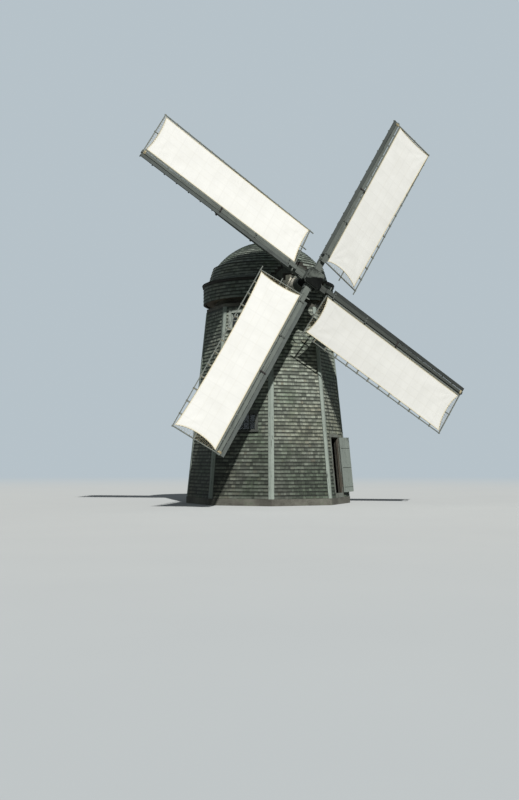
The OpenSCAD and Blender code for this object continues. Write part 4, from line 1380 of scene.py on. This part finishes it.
def ties(k):
    """Short turns of line from the outer hem round the rail, at every bar."""
    lines = []
    for i in range(1, bar_count - 1):
        s = bar_first + i * bar_pitch + 0.03
        v = (s - cloth_heel) / (cloth_tip - cloth_heel)
        inner = cloth_place(k, 0.992, min(0.99, max(0.01, v)), 0.006)
        round_rail = [bar_front(k, s, rail_in, 0.0), bar_front(k, s, rail_out, 0.0),
                      bar_front(k, s, rail_out, rail_behind), bar_front(k, s, rail_in, rail_behind)]
        lines.append([arm_matrix(k) @ p for p in [inner, *round_rail, inner + Vector((0, 0, 0.012))]])
    return lines


print("lines of each sail", 2 + len(ties(0)))

# %% Hem ropes, lacing and the sheets
short_steps, long_steps = 20, 60
hem_path = [(i / short_steps, 0.0) for i in range(short_steps)] + [(1.0, i / long_steps) for i in range(long_steps)]
hem_path += [(1 - i / short_steps, 1.0) for i in range(short_steps)]
hem_path += [(0.0, 1 - i / long_steps) for i in range(long_steps)]
for k in range(4):
    piece, area = cloths[k]
    path = [arm_matrix(k) @ cloth_place(k, u, v, 0.006) for u, v in hem_path]
    hem = rope(f"hem_rope_{k + 1}", [path], 0.007, closed=True)
    line = rope(f"lacing_{k + 1}", lacing(k) + ties(k), 0.0045, sides=0)
    for part in (hem, line, piece):
        rides(part, "sails")
    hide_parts(f"sail_cloth_{k + 1}")
    print("sail", k + 1, "cloth", round(area, 2), "m2, rope faces",
          len(hem.data.polygons) + len(line.data.polygons))

# %% Inner laths
# A thin lath along each whip closes the gap between the whip and the canvas. It follows the twist.
lath_in, lath_out, lath_thick, lath_past = 0.088, 0.142, 0.018, 0.02
deselect()
bpy.ops.mesh.primitive_grid_add(x_subdivisions=1, y_subdivisions=40, size=1, location=(0.5, 0.5, 0))
strip = bpy.context.object
settle()
edit_all()
bpy.ops.mesh.extrude_region_move(TRANSFORM_OT_translate={"value": (0, 0, 1)})
turn_faces_out()
strip = finished(strip, "one_lath", lattice_finish)
flat_points = [tuple(p.co) for p in strip.data.vertices]
laths = copied("inner_laths", strip, [Matrix()] * 4)
for i, point in enumerate(laths.data.vertices):
    k, (u, v, w) = i // len(flat_points), flat_points[i % len(flat_points)]
    s = cloth_heel - lath_past + v * (cloth_long + 2 * lath_past)
    point.co = arm_matrix(k) @ bar_front(k, s, lath_in + u * (lath_out - lath_in), w * lath_thick)
away_with(strip)
rides(laths, "sails")
print("inner laths", len(laths.data.polygons), "faces")

# %% Rope round the tips of the whips
rope_half, rope_start, rope_rise, rope_turns = 0.062, 7.160, 0.0035, 5
corners = [(-rope_half, -rope_half), (rope_half, -rope_half), (rope_half, rope_half), (-rope_half, rope_half)]
turns = []
for k in range(4):
    steps = [(*corners[i % 4], rope_start + rope_rise * i) for i in range(4 * rope_turns + 1)]
    turns.append([arm_matrix(k) @ Vector((x, whip_depth(k) + y, s)) for x, y, s in steps])
whipping = rope("tip_whipping", turns, 0.007)
rides(whipping, "sails")
print("tip rope faces", len(whipping.data.polygons))

# %% [markdown]
# ## Last cells
# The models that were only copied are taken away.

# %% Tidy up and finish
for model in (nail, bolt):
    away_with(model)
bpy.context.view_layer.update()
